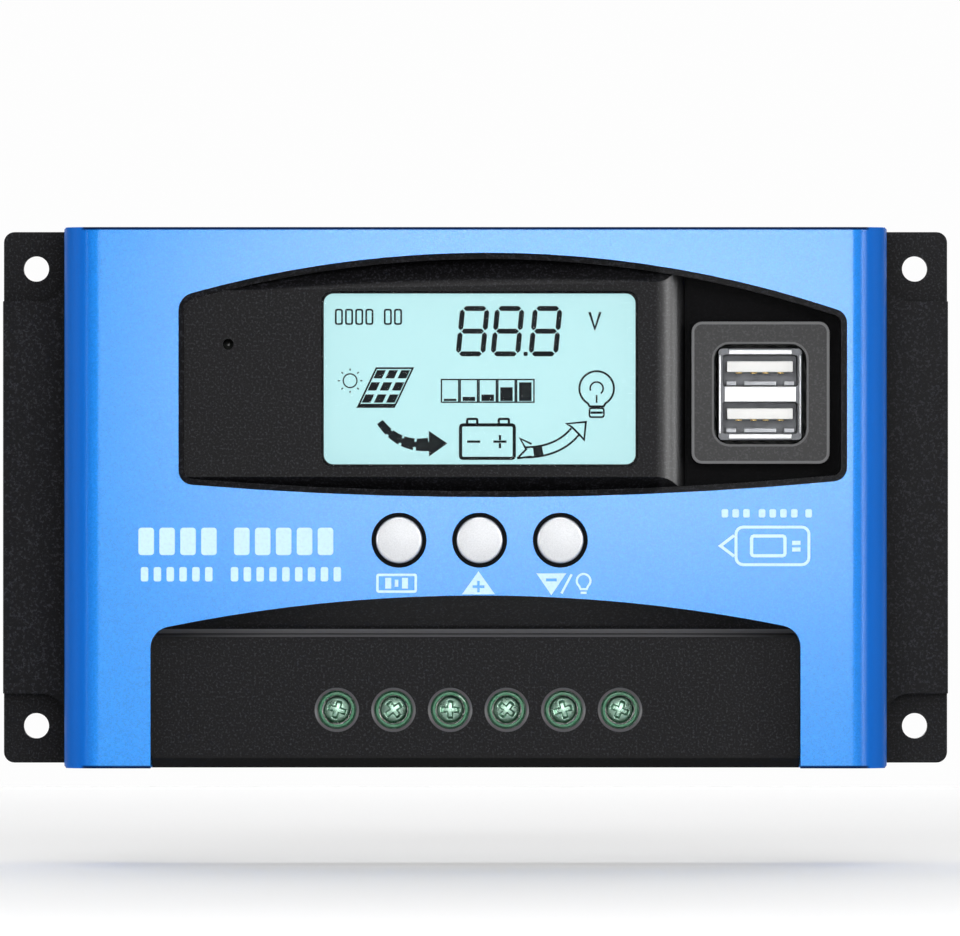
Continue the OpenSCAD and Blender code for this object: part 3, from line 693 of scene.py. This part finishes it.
# ---------------------------------------------------------------- pieces


def key_profile(top, foot, cap_r, flange_r, flange_top):
    """A key's side from the crown's centre to the foot's centre: a crown that is part of a sphere, a round
    shoulder, the straight wall, and the flange that keeps it in its guide."""
    shoulder = 0.55
    ball = 22.0
    r = np.linspace(0, cap_r - shoulder, 14)
    crown = np.c_[r, top - (ball - np.sqrt(ball**2 - r**2))]
    a = np.radians(np.linspace(12, 90, 8))
    edge = np.c_[cap_r - shoulder + shoulder * np.sin(a), crown[-1, 1] - shoulder + shoulder * np.cos(a)]
    wall = [[cap_r, flange_top], [flange_r, flange_top], [flange_r, foot], [0, foot]]
    return np.concatenate([crown, edge, wall])


def build_keys():
    for name in ("menu", "plus", "minus"):
        node = name + "_button"
        c, a, b = middle(node), low(node), high(node)
        form = Form()
        form.turned(key_profile(b[2], a[2], 3.85, (b[0] - a[0]) / 2, a[2] + 1.2), c[:2], 72)
        new_piece(form, "key_cap_" + name, name + "_key", "key_plastic", [node], smooth=True)


def screw_head(form, centre, top, foot, tip, head_r, shank_r, turn):
    """A pan head with a cross recess on a polar grid. The height is the crown, top - 0.3 (r / R)^2, less
    the rounding of the rim and the recess: the greater of two slots at right angles, each a smooth box
    with sloping ends."""
    r = np.concatenate([np.linspace(0, head_r * 0.9, 22),
                        head_r * (1 - 0.1 * np.cos(np.radians([30, 60, 90])))])
    t = np.linspace(0, 2 * np.pi, 96, endpoint=False)
    rr, tt = np.meshgrid(r, t)
    u, v = rr * np.cos(tt + turn), rr * np.sin(tt + turn)
    ease = lambda x: np.clip(x, 0, 1) ** 2 * (3 - 2 * np.clip(x, 0, 1))
    arm = lambda a, b: ease((0.40 - np.abs(a)) / 0.16 + 0.5) * ease((1.62 - np.abs(b)) / 0.5)
    recess = np.maximum(arm(u, v), arm(v, u)) * 0.95
    rim = np.where(rr > head_r * 0.9, 0.28 * ((rr - head_r * 0.9) / (head_r * 0.1)) ** 2, 0)
    d = top - 0.3 * (rr / head_r) ** 2 - recess - rim
    form.grid(np.stack([centre[0] + rr * np.cos(tt), centre[1] + rr * np.sin(tt), d], -1), wrap_u=True)
    edge = top - 0.3 - 0.28
    form.turned([[head_r, edge], [head_r, foot], [shank_r, foot], [shank_r, tip + 0.3],
                 [shank_r - 0.3, tip], [0, tip]], centre, 96)


def build_clamp_screws():
    for i in range(1, 7):
        node = f"clamp_screw_{i}"
        c, a, b = middle(node), low(node), high(node)
        form = Form()
        head_r = (b[0] - a[0]) / 2
        turn = math.radians((37 * i) % 90 - 20)
        screw_head(form, c[:2], b[2], b[2] - 1.8, a[2], head_r, 1.5, turn)
        new_piece(form, f"pan_screw_{i}", f"screw_{i}", "clamp_screw", [node], smooth=True)


def build_socket_shell():
    """The twin socket's plated shell: a box with round corners, its front pierced by two ports. Each rim is a
    quarter-round profile carried round its outline, then the wall runs back to the port's floor."""
    a, b = low("usb_shell"), high("usb_shell")
    c = (a + b) / 2
    front, rim, depth = b[2], 0.16, 12.2
    quarter = np.radians(np.linspace(0, 90, 4))
    form = Form()
    outer = round_box(a[0], b[0], a[1], b[1], 0.8, 6)
    lip = np.c_[rim * (1 - np.cos(quarter)), front - rim + rim * np.sin(quarter)]
    skirt = form.swept(outer, np.concatenate([[[0, a[2]]], lip]))
    holes = []
    for s in (-1, 1):
        h = c[1] + s * 3.95
        port = round_box(c[0] - 6.25, c[0] + 6.25, h - 2.56, h + 2.56, 0.5, 5)
        lip = np.c_[-rim + rim * np.sin(quarter), front - rim + rim * np.cos(quarter)]
        wall = form.swept(port, np.concatenate([lip, [[0, front - depth]]]))
        holes.append(wall[:, 0, :2])
        form.panel([port], front - depth)
    form.panel([skirt[:, -1, :2], *holes], front)
    form.panel([outer], a[2])
    new_piece(form, "twin_socket_shell", ROOT, "socket_steel", ["usb_shell"])
    # bright bars pressed up from the shell's front: above, between and below the ports, and down both sides
    form = Form()
    x, h = c[:2]
    round_over = np.c_[0.14 * (1 - np.cos(quarter)), front + 0.14 * np.sin(quarter)]
    bars = [(x - 5.3, x + 5.3, h + 6.66, h + 7.5), (x - 6.0, x + 6.0, h - 1.3, h + 1.3),
            (x - 5.3, x + 5.3, h - 7.5, h - 6.66), (x - 6.95, x - 6.6, h - 6.6, h + 6.6),
            (x + 6.6, x + 6.95, h - 6.6, h + 6.6)]
    for x0, x1, h0, h1 in bars:
        outline = round_box(x0, x1, h0, h1, 0.16, 4)
        ring = form.swept(outline, np.concatenate([[[0, front - 0.2]], round_over * [0.9, 1]]))
        form.panel([ring[:, -1, :2]], front + 0.14)
        form.panel([outline], front - 0.2)
    new_piece(form, "socket_trim", ROOT, "socket_trim")
    # three spring tabs on the lower wall of each port, with a notch between each two
    form = Form()
    for s in (-1, 1):
        foot = h + s * 3.95 - 2.52
        for x0, x1 in ((x - 5.7, x - 4.0), (x - 2.7, x + 2.7), (x + 4.0, x + 5.7)):
            outline = round_box(x0, x1, foot, foot + 0.8, 0.12, 4)
            ring = form.swept(outline, np.concatenate([[[0, front - 2.4]], round_over * [0.8, 1] - [0, 0.6]]))
            form.panel([ring[:, -1, :2]], front - 0.46)
            form.panel([outline], front - 2.4)
    new_piece(form, "socket_springs", ROOT, "socket_spring")


# ---- marks of the display: plan millimetres from the middle of the face


def bar(p, q, width):
    """A segment from p to q with pointed ends."""
    p, q = np.asarray(p, float), np.asarray(q, float)
    along = (q - p) / np.linalg.norm(q - p)
    side = np.array([-along[1], along[0]]) * width / 2
    tip = along * width / 2
    return np.array([p, p + tip + side, q - tip + side, q, q - tip - side, p + tip - side])


def digit(form, x, h, wide, tall, width, back, front, lean=0.1):
    """A seven-segment eight, leaning by lean of its height."""
    gap = 0.14
    corner = lambda i, j: np.array([x + i * wide + lean * j * tall / 2, h + j * tall / 2])
    pairs = [((0, 0), (1, 0)), ((0, 1), (1, 1)), ((0, 2), (1, 2)), ((0, 0), (0, 1)), ((0, 1), (0, 2)),
             ((1, 0), (1, 1)), ((1, 1), (1, 2))]
    for a, b in pairs:
        p, q = corner(*a), corner(*b)
        step = (q - p) / np.linalg.norm(q - p) * gap
        form.plate(bar(p + step, q - step, width), back, front)


def curve(points, n=18):
    """A smooth line through three points: p0 (1-t)^2 + 2 c t (1-t) + p2 t^2, with c set so that it meets
    the middle one."""
    p0, p1, p2 = (np.asarray(p, float) for p in points)
    c = 2 * p1 - (p0 + p2) / 2
    t = np.linspace(0, 1, n)[:, None]
    return p0 * (1 - t) ** 2 + 2 * c * t * (1 - t) + p2 * t**2


def build_display_marks():
    """Digits, unit, sun, panel, level bars, lamp, battery, arrows and six empty boxes, as thin plates on
    the display's glass."""
    form = Form()
    glass = high("lcd_glass")[2]
    back, front = glass - 0.02, glass + 0.05
    width = sizes().segment_width / MM
    line = 0.42
    for x in (-2.9, 2.95, 9.3):
        digit(form, x, 24.1, 4.1, 7.6, width, back, front)
    form.plate(round_box(8.05, 8.75, 23.75, 24.45, 0.2), back, front)
    form.ribbon([[19.1, 31.1], [20.0, 28.3], [20.9, 31.1]], line, back, front)
    for k, x in enumerate([-23.4, -21.7, -20.0, -18.3, -15.2, -13.5]):
        form.ribbon(round_box(x, x + 1.05, 29.1, 31.5, 0.25, 3), 0.3, back, front, closed=True)
    # sun with eight rays
    sun = np.array([-21.0, 19.6])
    form.ribbon(circle(*sun, 1.15, 24), 0.22, back, front, closed=True)
    for a in np.radians(np.arange(0, 360, 45)):
        way = np.array([np.cos(a), np.sin(a)])
        form.plate(bar(sun + way * 1.65, sun + way * 2.1, 0.22), back, front)
    # panel: three rows of three cells in a leaning frame
    foot, run, rise = np.array([-19.5, 15.6]), np.array([6.1, 0.0]), np.array([2.9, 6.1])
    corners = [foot, foot + run, foot + run + rise, foot + rise]
    form.ribbon(corners, 0.3, back, front, closed=True)
    form.plate([foot + [-0.5, -0.55], foot + run + [-0.1, -0.55], foot + run + [0.1, 0.1], foot + [0, 0.1]],
               back, front)
    for i in range(3):
        for j in range(3):
            at = foot + run * (i + 0.14) / 3 + rise * (j + 0.16) / 3
            a, b = run * 0.72 / 3, rise * 0.68 / 3
            form.plate([at, at + a, at + a + b, at + b], back, front)
    # five level boxes, filled more and more
    for k, fill in enumerate((0.12, 0.22, 0.34, 0.72, 0.98)):
        x = -5.7 + k * 3.15
        form.ribbon([[x, 16.0], [x + 2.9, 16.0], [x + 2.9, 19.8], [x, 19.8]], 0.24, back, front, closed=True)
        level = 16.2 + 3.2 * fill
        form.plate([[x + 0.4, 16.2], [x + 2.5, 16.2], [x + 2.5, level], [x + 0.4, level]], back, front)
    # lamp
    bulb = np.array([20.3, 18.3])
    glassy = np.concatenate([round_corner(bulb, 2.9, -60, 240, 26), [[19.1, 15.3], [21.5, 15.3]]])
    form.ribbon(glassy, 0.34, back, front, closed=True)
    form.ribbon(round_corner(bulb, 1.1, -50, 200, 12), 0.28, back, front)
    form.ribbon([bulb + [0, -1.1], bulb + [0, -2.4]], 0.28, back, front)
    form.ribbon(round_box(19.1, 21.5, 13.5, 15.0, 0.3, 3), 0.3, back, front, closed=True)
    form.plate([[19.3, 14.05], [21.3, 14.05], [21.3, 14.45], [19.3, 14.45]], back, front)
    # battery with plain plus and minus signs
    form.ribbon(round_box(-2.5, 6.5, 6.6, 12.2, 0.4, 3), 0.55, back, front, closed=True)
    for x in (-1.4, 3.9):
        form.ribbon(round_box(x, x + 1.7, 12.2, 13.2, 0.2, 3), 0.4, back, front, closed=True)
    form.plate([[-1.4, 9.2], [0.8, 9.2], [0.8, 9.6], [-1.4, 9.6]], back, front)
    form.plate([[3.0, 9.2], [5.2, 9.2], [5.2, 9.6], [3.0, 9.6]], back, front)
    form.plate([[3.9, 8.3], [4.3, 8.3], [4.3, 9.15], [3.9, 9.15]], back, front)
    form.plate([[3.9, 9.65], [4.3, 9.65], [4.3, 10.5], [3.9, 10.5]], back, front)
    # the two flow arrows
    way = curve([[-16.0, 12.7], [-12.2, 9.5], [-7.4, 9.0]], 49)
    broad = np.linspace(1.2, 2.3, 49)
    for start in range(0, 48, 12):
        form.ribbon(way[start:start + 11], broad[start:start + 11], back, front)
    form.ribbon(way, 0.9, back, front - 0.01)
    form.plate([[-7.8, 11.2], [-7.8, 6.9], [-4.7, 9.1]], back, front)
    way = curve([[8.4, 7.6], [13.2, 8.5], [16.7, 11.1]], 33)
    form.ribbon([[7.0, 6.6], [9.4, 6.9]], 0.34, back, front)
    form.ribbon([[9.4, 9.0], [7.5, 9.9], [8.5, 8.1], [7.0, 6.6]], 0.34, back, front)
    form.ribbon(way[4:10], 1.5, back, front)
    for side in (-1, 1):
        offset = np.gradient(way, axis=0)
        offset = np.c_[-offset[:, 1], offset[:, 0]] / np.linalg.norm(offset, axis=1)[:, None]
        form.ribbon(way + offset * side * 0.85, 0.34, back, front)
    form.ribbon([[15.3, 12.4], [18.5, 12.7], [18.2, 9.7], [17.4, 10.6], [16.2, 11.8]], 0.34, back, front,
                closed=True)
    new_piece(form, "display_segments", ROOT, "segment")


def build_cover_print():
    """Pale marks on the flat of the cover: plain bars where a name would stand, and the keys' signs, in
    which a plus and a minus stay the cover's blue."""
    form = Form()
    face = high("front_cover")[2]
    back, front = face - 0.02, face + sizes().ink_height / MM
    # two rows of plain bars
    for k, x in enumerate([-56.4, -52.9, -49.4, -45.9, -40.4, -36.9, -33.4, -29.9, -26.4]):
        form.plate(round_box(x, x + 2.6, -9.6, -5.0, 0.5, 4), back, front)
    for k in range(16):
        if k != 6:
            x = -56.0 + k * 2.15
            form.plate(round_box(x, x + 1.25, -14.0, -11.6, 0.3, 3), back, front)
    # small bars and a plug sign under the sockets
    for k, x in enumerate([41.2, 43.0, 44.8, 47.4, 49.2, 51.0, 52.8, 55.2]):
        form.plate(round_box(x, x + 1.1, -3.3, -1.9, 0.25, 3), back, front)
    plug = round_box(43.6, 55.8, -11.2, -4.9, 1.2, 5)
    form.ribbon(plug, 0.5, back, front, closed=True)
    form.ribbon([[43.3, -9.8], [41.0, -8.05], [43.3, -6.3]], 0.5, back, front)
    form.ribbon(round_box(46.2, 51.8, -9.7, -6.4, 0.4, 3), 0.55, back, front, closed=True)
    for h in (-9.0, -7.9):
        form.plate([[53.0, h], [54.4, h], [54.4, h + 0.7], [53.0, h + 0.7]], back, front)
    # signs below the keys: a list, plus, and minus with a lamp
    x = middle("menu_button")[0] - 0.4
    form.ribbon(round_box(x - 3.2, x + 3.2, -15.7, -12.9, 0.2, 3), 0.42, back, front, closed=True)
    form.plate([[x - 1.9, -15.2], [x - 0.9, -15.2], [x - 0.9, -13.4], [x - 1.9, -13.4]], back, front)
    form.plate([[x + 0.9, -15.2], [x + 1.9, -15.2], [x + 1.9, -13.4], [x + 0.9, -13.4]], back, front)
    form.plate([[x - 0.3, -14.9], [x + 0.3, -14.9], [x + 0.3, -13.7], [x - 0.3, -13.7]], back, front)
    x = middle("plus_button")[0] - 0.2
    form.plate([[x - 2.75, -16.15], [x + 2.75, -16.15], [x, -12.3]], back, front)
    bare = Form()
    over = front + 0.01
    bare.plate([[x - 1.0, -15.1], [x + 1.0, -15.1], [x + 1.0, -14.65], [x - 1.0, -14.65]], back, over)
    bare.plate([[x - 0.22, -15.8], [x + 0.22, -15.8], [x + 0.22, -13.9], [x - 0.22, -13.9]],
               back, over + 0.005)
    x = middle("minus_button")[0]
    form.plate([[x - 4.0, -12.65], [x - 1.5, -16.3], [x + 1.0, -12.65]], back, front)
    bare.plate([[x - 2.4, -14.0], [x - 0.6, -14.0], [x - 0.6, -13.5], [x - 2.4, -13.5]], back, over)
    new_piece(bare, "bare_signs", ROOT, "blue_cover")
    form.ribbon([[x + 0.2, -16.0], [x + 1.9, -12.8]], 0.4, back, front)
    bulb = np.concatenate([round_corner((x + 3.9, -13.9), 1.15, -50, 230, 16),
                           [[x + 3.4, -15.3], [x + 4.4, -15.3]]])
    form.ribbon(bulb, 0.36, back, front, closed=True)
    form.plate([[x + 3.4, -16.1], [x + 4.4, -16.1], [x + 4.4, -15.7], [x + 3.4, -15.7]], back, front)
    new_piece(form, "cover_marks", ROOT, "print")


# ---------------------------------------------------------------- stage


def lamp(name, place, aim, size, power, colour=(1, 1, 1), height=None):
    """A soft rectangular light that is not seen by the camera."""
    data = bpy.data.lights.new(name, "AREA")
    data.shape = "RECTANGLE"
    data.size = size
    data.size_y = height or size
    data.energy = power
    data.color = colour
    made = bpy.data.objects.new(name, data)
    bpy.context.scene.collection.objects.link(made)
    made.location = place
    made.rotation_euler = (Vector(aim) - Vector(place)).to_track_quat("-Z", "Y").to_euler()
    made.visible_camera = False
    return made


def build_stage():
    scene = bpy.context.scene
    scene.view_settings.view_transform = "Standard"
    # floor: a flat sheet a little below the controller's foot
    drop = cad_box[0][2] - 0.0165
    x, y = np.meshgrid(np.linspace(-1.6, 1.6, 9), np.linspace(-0.8, 0.7, 9), indexing="ij")
    form = Form()
    form.grid(np.stack([x / MM, np.full_like(x, drop / MM), -y / MM], -1))
    floor = form.piece("floor")
    if floor.data.polygons[0].normal.z < 0:
        floor.data.flip_normals()
    f = Finish("pale_floor")
    clouds = f.noise(0.6, 2)
    tone = f.mix(clouds, (0.80, 0.80, 0.805), (0.83, 0.83, 0.83))
    floor.data.materials.append(f.surface(Base_Color=tone, Roughness=0.9))
    # sky: plain white to the camera; as a light it is bright behind the controller and dim in front of it
    world = bpy.data.worlds.new("studio")
    scene.world = world
    world.use_nodes = True
    tree = world.node_tree
    tree.nodes.clear()
    way = tree.nodes.new("ShaderNodeTexCoord")
    split = tree.nodes.new("ShaderNodeSeparateXYZ")
    ramp = tree.nodes.new("ShaderNodeMapRange")
    ramp.interpolation_type = "SMOOTHSTEP"
    ramp.inputs["From Min"].default_value = 0.0
    ramp.inputs["From Max"].default_value = 0.85
    ramp.inputs["To Min"].default_value = 0.10
    ramp.inputs["To Max"].default_value = 0.985
    sky = tree.nodes.new("ShaderNodeBackground")
    sky.inputs["Color"].default_value = (1, 1, 1, 1)
    out = tree.nodes.new("ShaderNodeOutputWorld")
    tree.links.new(way.outputs["Generated"], split.inputs[0])
    tree.links.new(split.outputs["Y"], ramp.inputs["Value"])
    plain = tree.nodes.new("ShaderNodeMix")
    plain.inputs[3].default_value = 0.985
    tree.links.new(tree.nodes.new("ShaderNodeLightPath").outputs["Is Camera Ray"], plain.inputs[0])
    tree.links.new(ramp.outputs["Result"], plain.inputs[2])
    tree.links.new(plain.outputs[0], sky.inputs["Strength"])
    tree.links.new(sky.outputs[0], out.inputs[0])
    key = lamp("key_softbox", (0.0, -1.5, 0.52), (0, -0.04, 0.0), 1.4, 18.5, height=0.45)
    key.visible_glossy = False
    lamp("back_softbox", (0, 1.6, 0.45), (0, 0.0, -0.06), 1.6, 13.0, height=0.5)
    lamp("top_softbox", (0, -0.1, 1.5), (0, -0.1, 0.0), 2.4, 12.0)
    # cards that show only as gleams
    for card in (lamp("sheen_card", (0.026, -0.75, 0.041), (0.026, -0.044, 0.041), 0.17, 0.71, height=0.12),
                 lamp("right_strip", (0.75, -0.75, 0.05), (0, -0.04, 0), 0.3, 13.0, height=0.9),
                 lamp("left_strip", (-0.75, -0.75, 0.05), (0, -0.04, 0), 0.12, 1.8, height=0.9),
                 lamp("right_card", (1.0, -0.12, 0.1), (0, -0.04, 0), 0.5, 11.0),
                 lamp("left_card", (-1.0, -0.12, 0.1), (0, -0.04, 0), 0.5, 11.0),
                 lamp("upper_card", (0, -0.15, 1.0), (0, -0.04, 0), 0.5, 11.0)):
        card.visible_diffuse = False
    data = bpy.data.cameras.new("front_camera")
    data.sensor_width = 36.0
    data.lens = 36.0 * sizes().camera_distance / 0.16304
    camera = bpy.data.objects.new("front_camera", data)
    scene.collection.objects.link(camera)
    camera.location = (0.00076, -sizes().camera_distance, 0.00498)
    camera.rotation_euler = (math.pi / 2, 0, 0)
    data.clip_end = 100
    scene.camera = camera


# ---------------------------------------------------------------- operators


class CONTROLLER_OT_housing(Operator):
    """Finish the cover, the base and the black insets"""

    bl_idname = "controller.housing"
    bl_label = "Housing"

    def execute(self, context):
        s = sizes()
        carry_over("front_cover", s.cover_edge, 4, 40)
        carry_over("base_tray", s.tray_edge, 3, 32, join=False)
        carry_over("display_bezel", s.inset_edge, 3, 28, "inset_black")
        carry_over("terminal_cover", s.inset_edge * 0.5, 2, 28, "ledge_black", join=False)
        carry_over("button_guide", 0.00012, 2, 40, "guide_black")
        carry_over("heat_sink", 0.00018, 2, 40)
        return {"FINISHED"}


class CONTROLLER_OT_keys(Operator):
    """Build the domed key caps"""

    bl_idname = "controller.keys"
    bl_label = "Keys"

    def execute(self, context):
        build_keys()
        for name in ("menu_plunger", "plus_plunger", "minus_plunger", "key_switches"):
            carry_over(name, 0.0001)
        return {"FINISHED"}


class CONTROLLER_OT_terminals(Operator):
    """Build the clamp screws and finish the terminals"""

    bl_idname = "controller.terminals"
    bl_label = "Terminals"

    def execute(self, context):
        build_clamp_screws()
        carry_over("terminal_housings", 0.00018, 3)
        carry_over("terminal_bars", 0.00012)
        for i in range(1, 7):
            carry_over(f"clamp_cage_{i}", 0.00015)
        return {"FINISHED"}


class CONTROLLER_OT_sockets(Operator):
    """Finish the USB sockets"""

    bl_idname = "controller.sockets"
    bl_label = "Sockets"

    def execute(self, context):
        build_socket_shell()
        carry_over("usb_board", finish="socket_board")
        carry_over("usb_insulator", 0.00015)
        carry_over("usb_contacts", 0.00006)
        return {"FINISHED"}


class CONTROLLER_OT_display(Operator):
    """Finish the display and build its segments"""

    bl_idname = "controller.display"
    bl_label = "Display"

    def execute(self, context):
        carry_over("display_window", 0.00012)
        carry_over("lcd_glass")
        carry_over("lcd_backlight")
        carry_over("status_led")
        build_display_marks()
        return {"FINISHED"}


class CONTROLLER_OT_marks(Operator):
    """Print the marks on the cover"""

    bl_idname = "controller.marks"
    bl_label = "Marks"

    def execute(self, context):
        build_cover_print()
        return {"FINISHED"}


class CONTROLLER_OT_inner(Operator):
    """Finish the boards and everything on them"""

    bl_idname = "controller.inner"
    bl_label = "Inner parts"

    edges = {"main_board": 0, "display_board": 0, "case_screws": 0.00015, "capacitors": 0.0004,
             "capacitor_tops": 0.0, "choke_core": 0.0003, "choke_coil": 0.00015, "fuses": 0.0004,
             "fuse_blades": 0.0001,
             "power_transistors": 0.0002, "transistor_tabs": 0.0001, "transistor_leads": 0.0,
             "thermal_pads": 0.0,
             "transistor_screws": 0.00012, "control_chip": 0.0001, "chip_legs": 0.0, "small_chips": 0.00008,
             "current_shunt": 0.0002, "header_bodies": 0.0001, "header_pins": 0.0, "usb_spacers": 0.0001,
             "heat_sink_screws": 0.00012, "board_screws": 0.00012, "display_screws": 0.0001}

    def execute(self, context):
        for node, edge in self.edges.items():
            carry_over(node, edge)
        return {"FINISHED"}


class CONTROLLER_OT_stage(Operator):
    """Lay the floor and set the lights and the camera"""

    bl_idname = "controller.stage"
    bl_label = "Stage"

    def execute(self, context):
        build_stage()
        return {"FINISHED"}


STEPS = (CONTROLLER_OT_stage, CONTROLLER_OT_housing, CONTROLLER_OT_keys, CONTROLLER_OT_terminals,
         CONTROLLER_OT_sockets, CONTROLLER_OT_display, CONTROLLER_OT_marks, CONTROLLER_OT_inner)


class CONTROLLER_PT_panel(Panel):
    """Sizes, colours and building steps"""

    bl_label = "Controller"
    bl_idname = "CONTROLLER_PT_panel"
    bl_space_type = "VIEW_3D"
    bl_region_type = "UI"
    bl_category = "Controller"

    def draw(self, context):
        for step in STEPS:
            self.layout.operator(step.bl_idname)
        for group in (sizes(), colours()):
            for name in group.bl_rna.properties.keys():
                if name not in ("rna_type", "name"):
                    self.layout.prop(group, name)


CLASSES = (ControllerSizes, ControllerColours, *STEPS, CONTROLLER_PT_panel)


def register():
    for cls in CLASSES:
        bpy.utils.register_class(cls)
    bpy.types.Scene.controller_sizes = PointerProperty(type=ControllerSizes)
    bpy.types.Scene.controller_colours = PointerProperty(type=ControllerColours)


def unregister():
    del bpy.types.Scene.controller_colours
    del bpy.types.Scene.controller_sizes
    for cls in reversed(CLASSES):
        bpy.utils.unregister_class(cls)


def main():
    register()
    for step in STEPS:
        group, name = step.bl_idname.split(".")
        getattr(getattr(bpy.ops, group), name)()


if __name__ == "__main__":
    main()
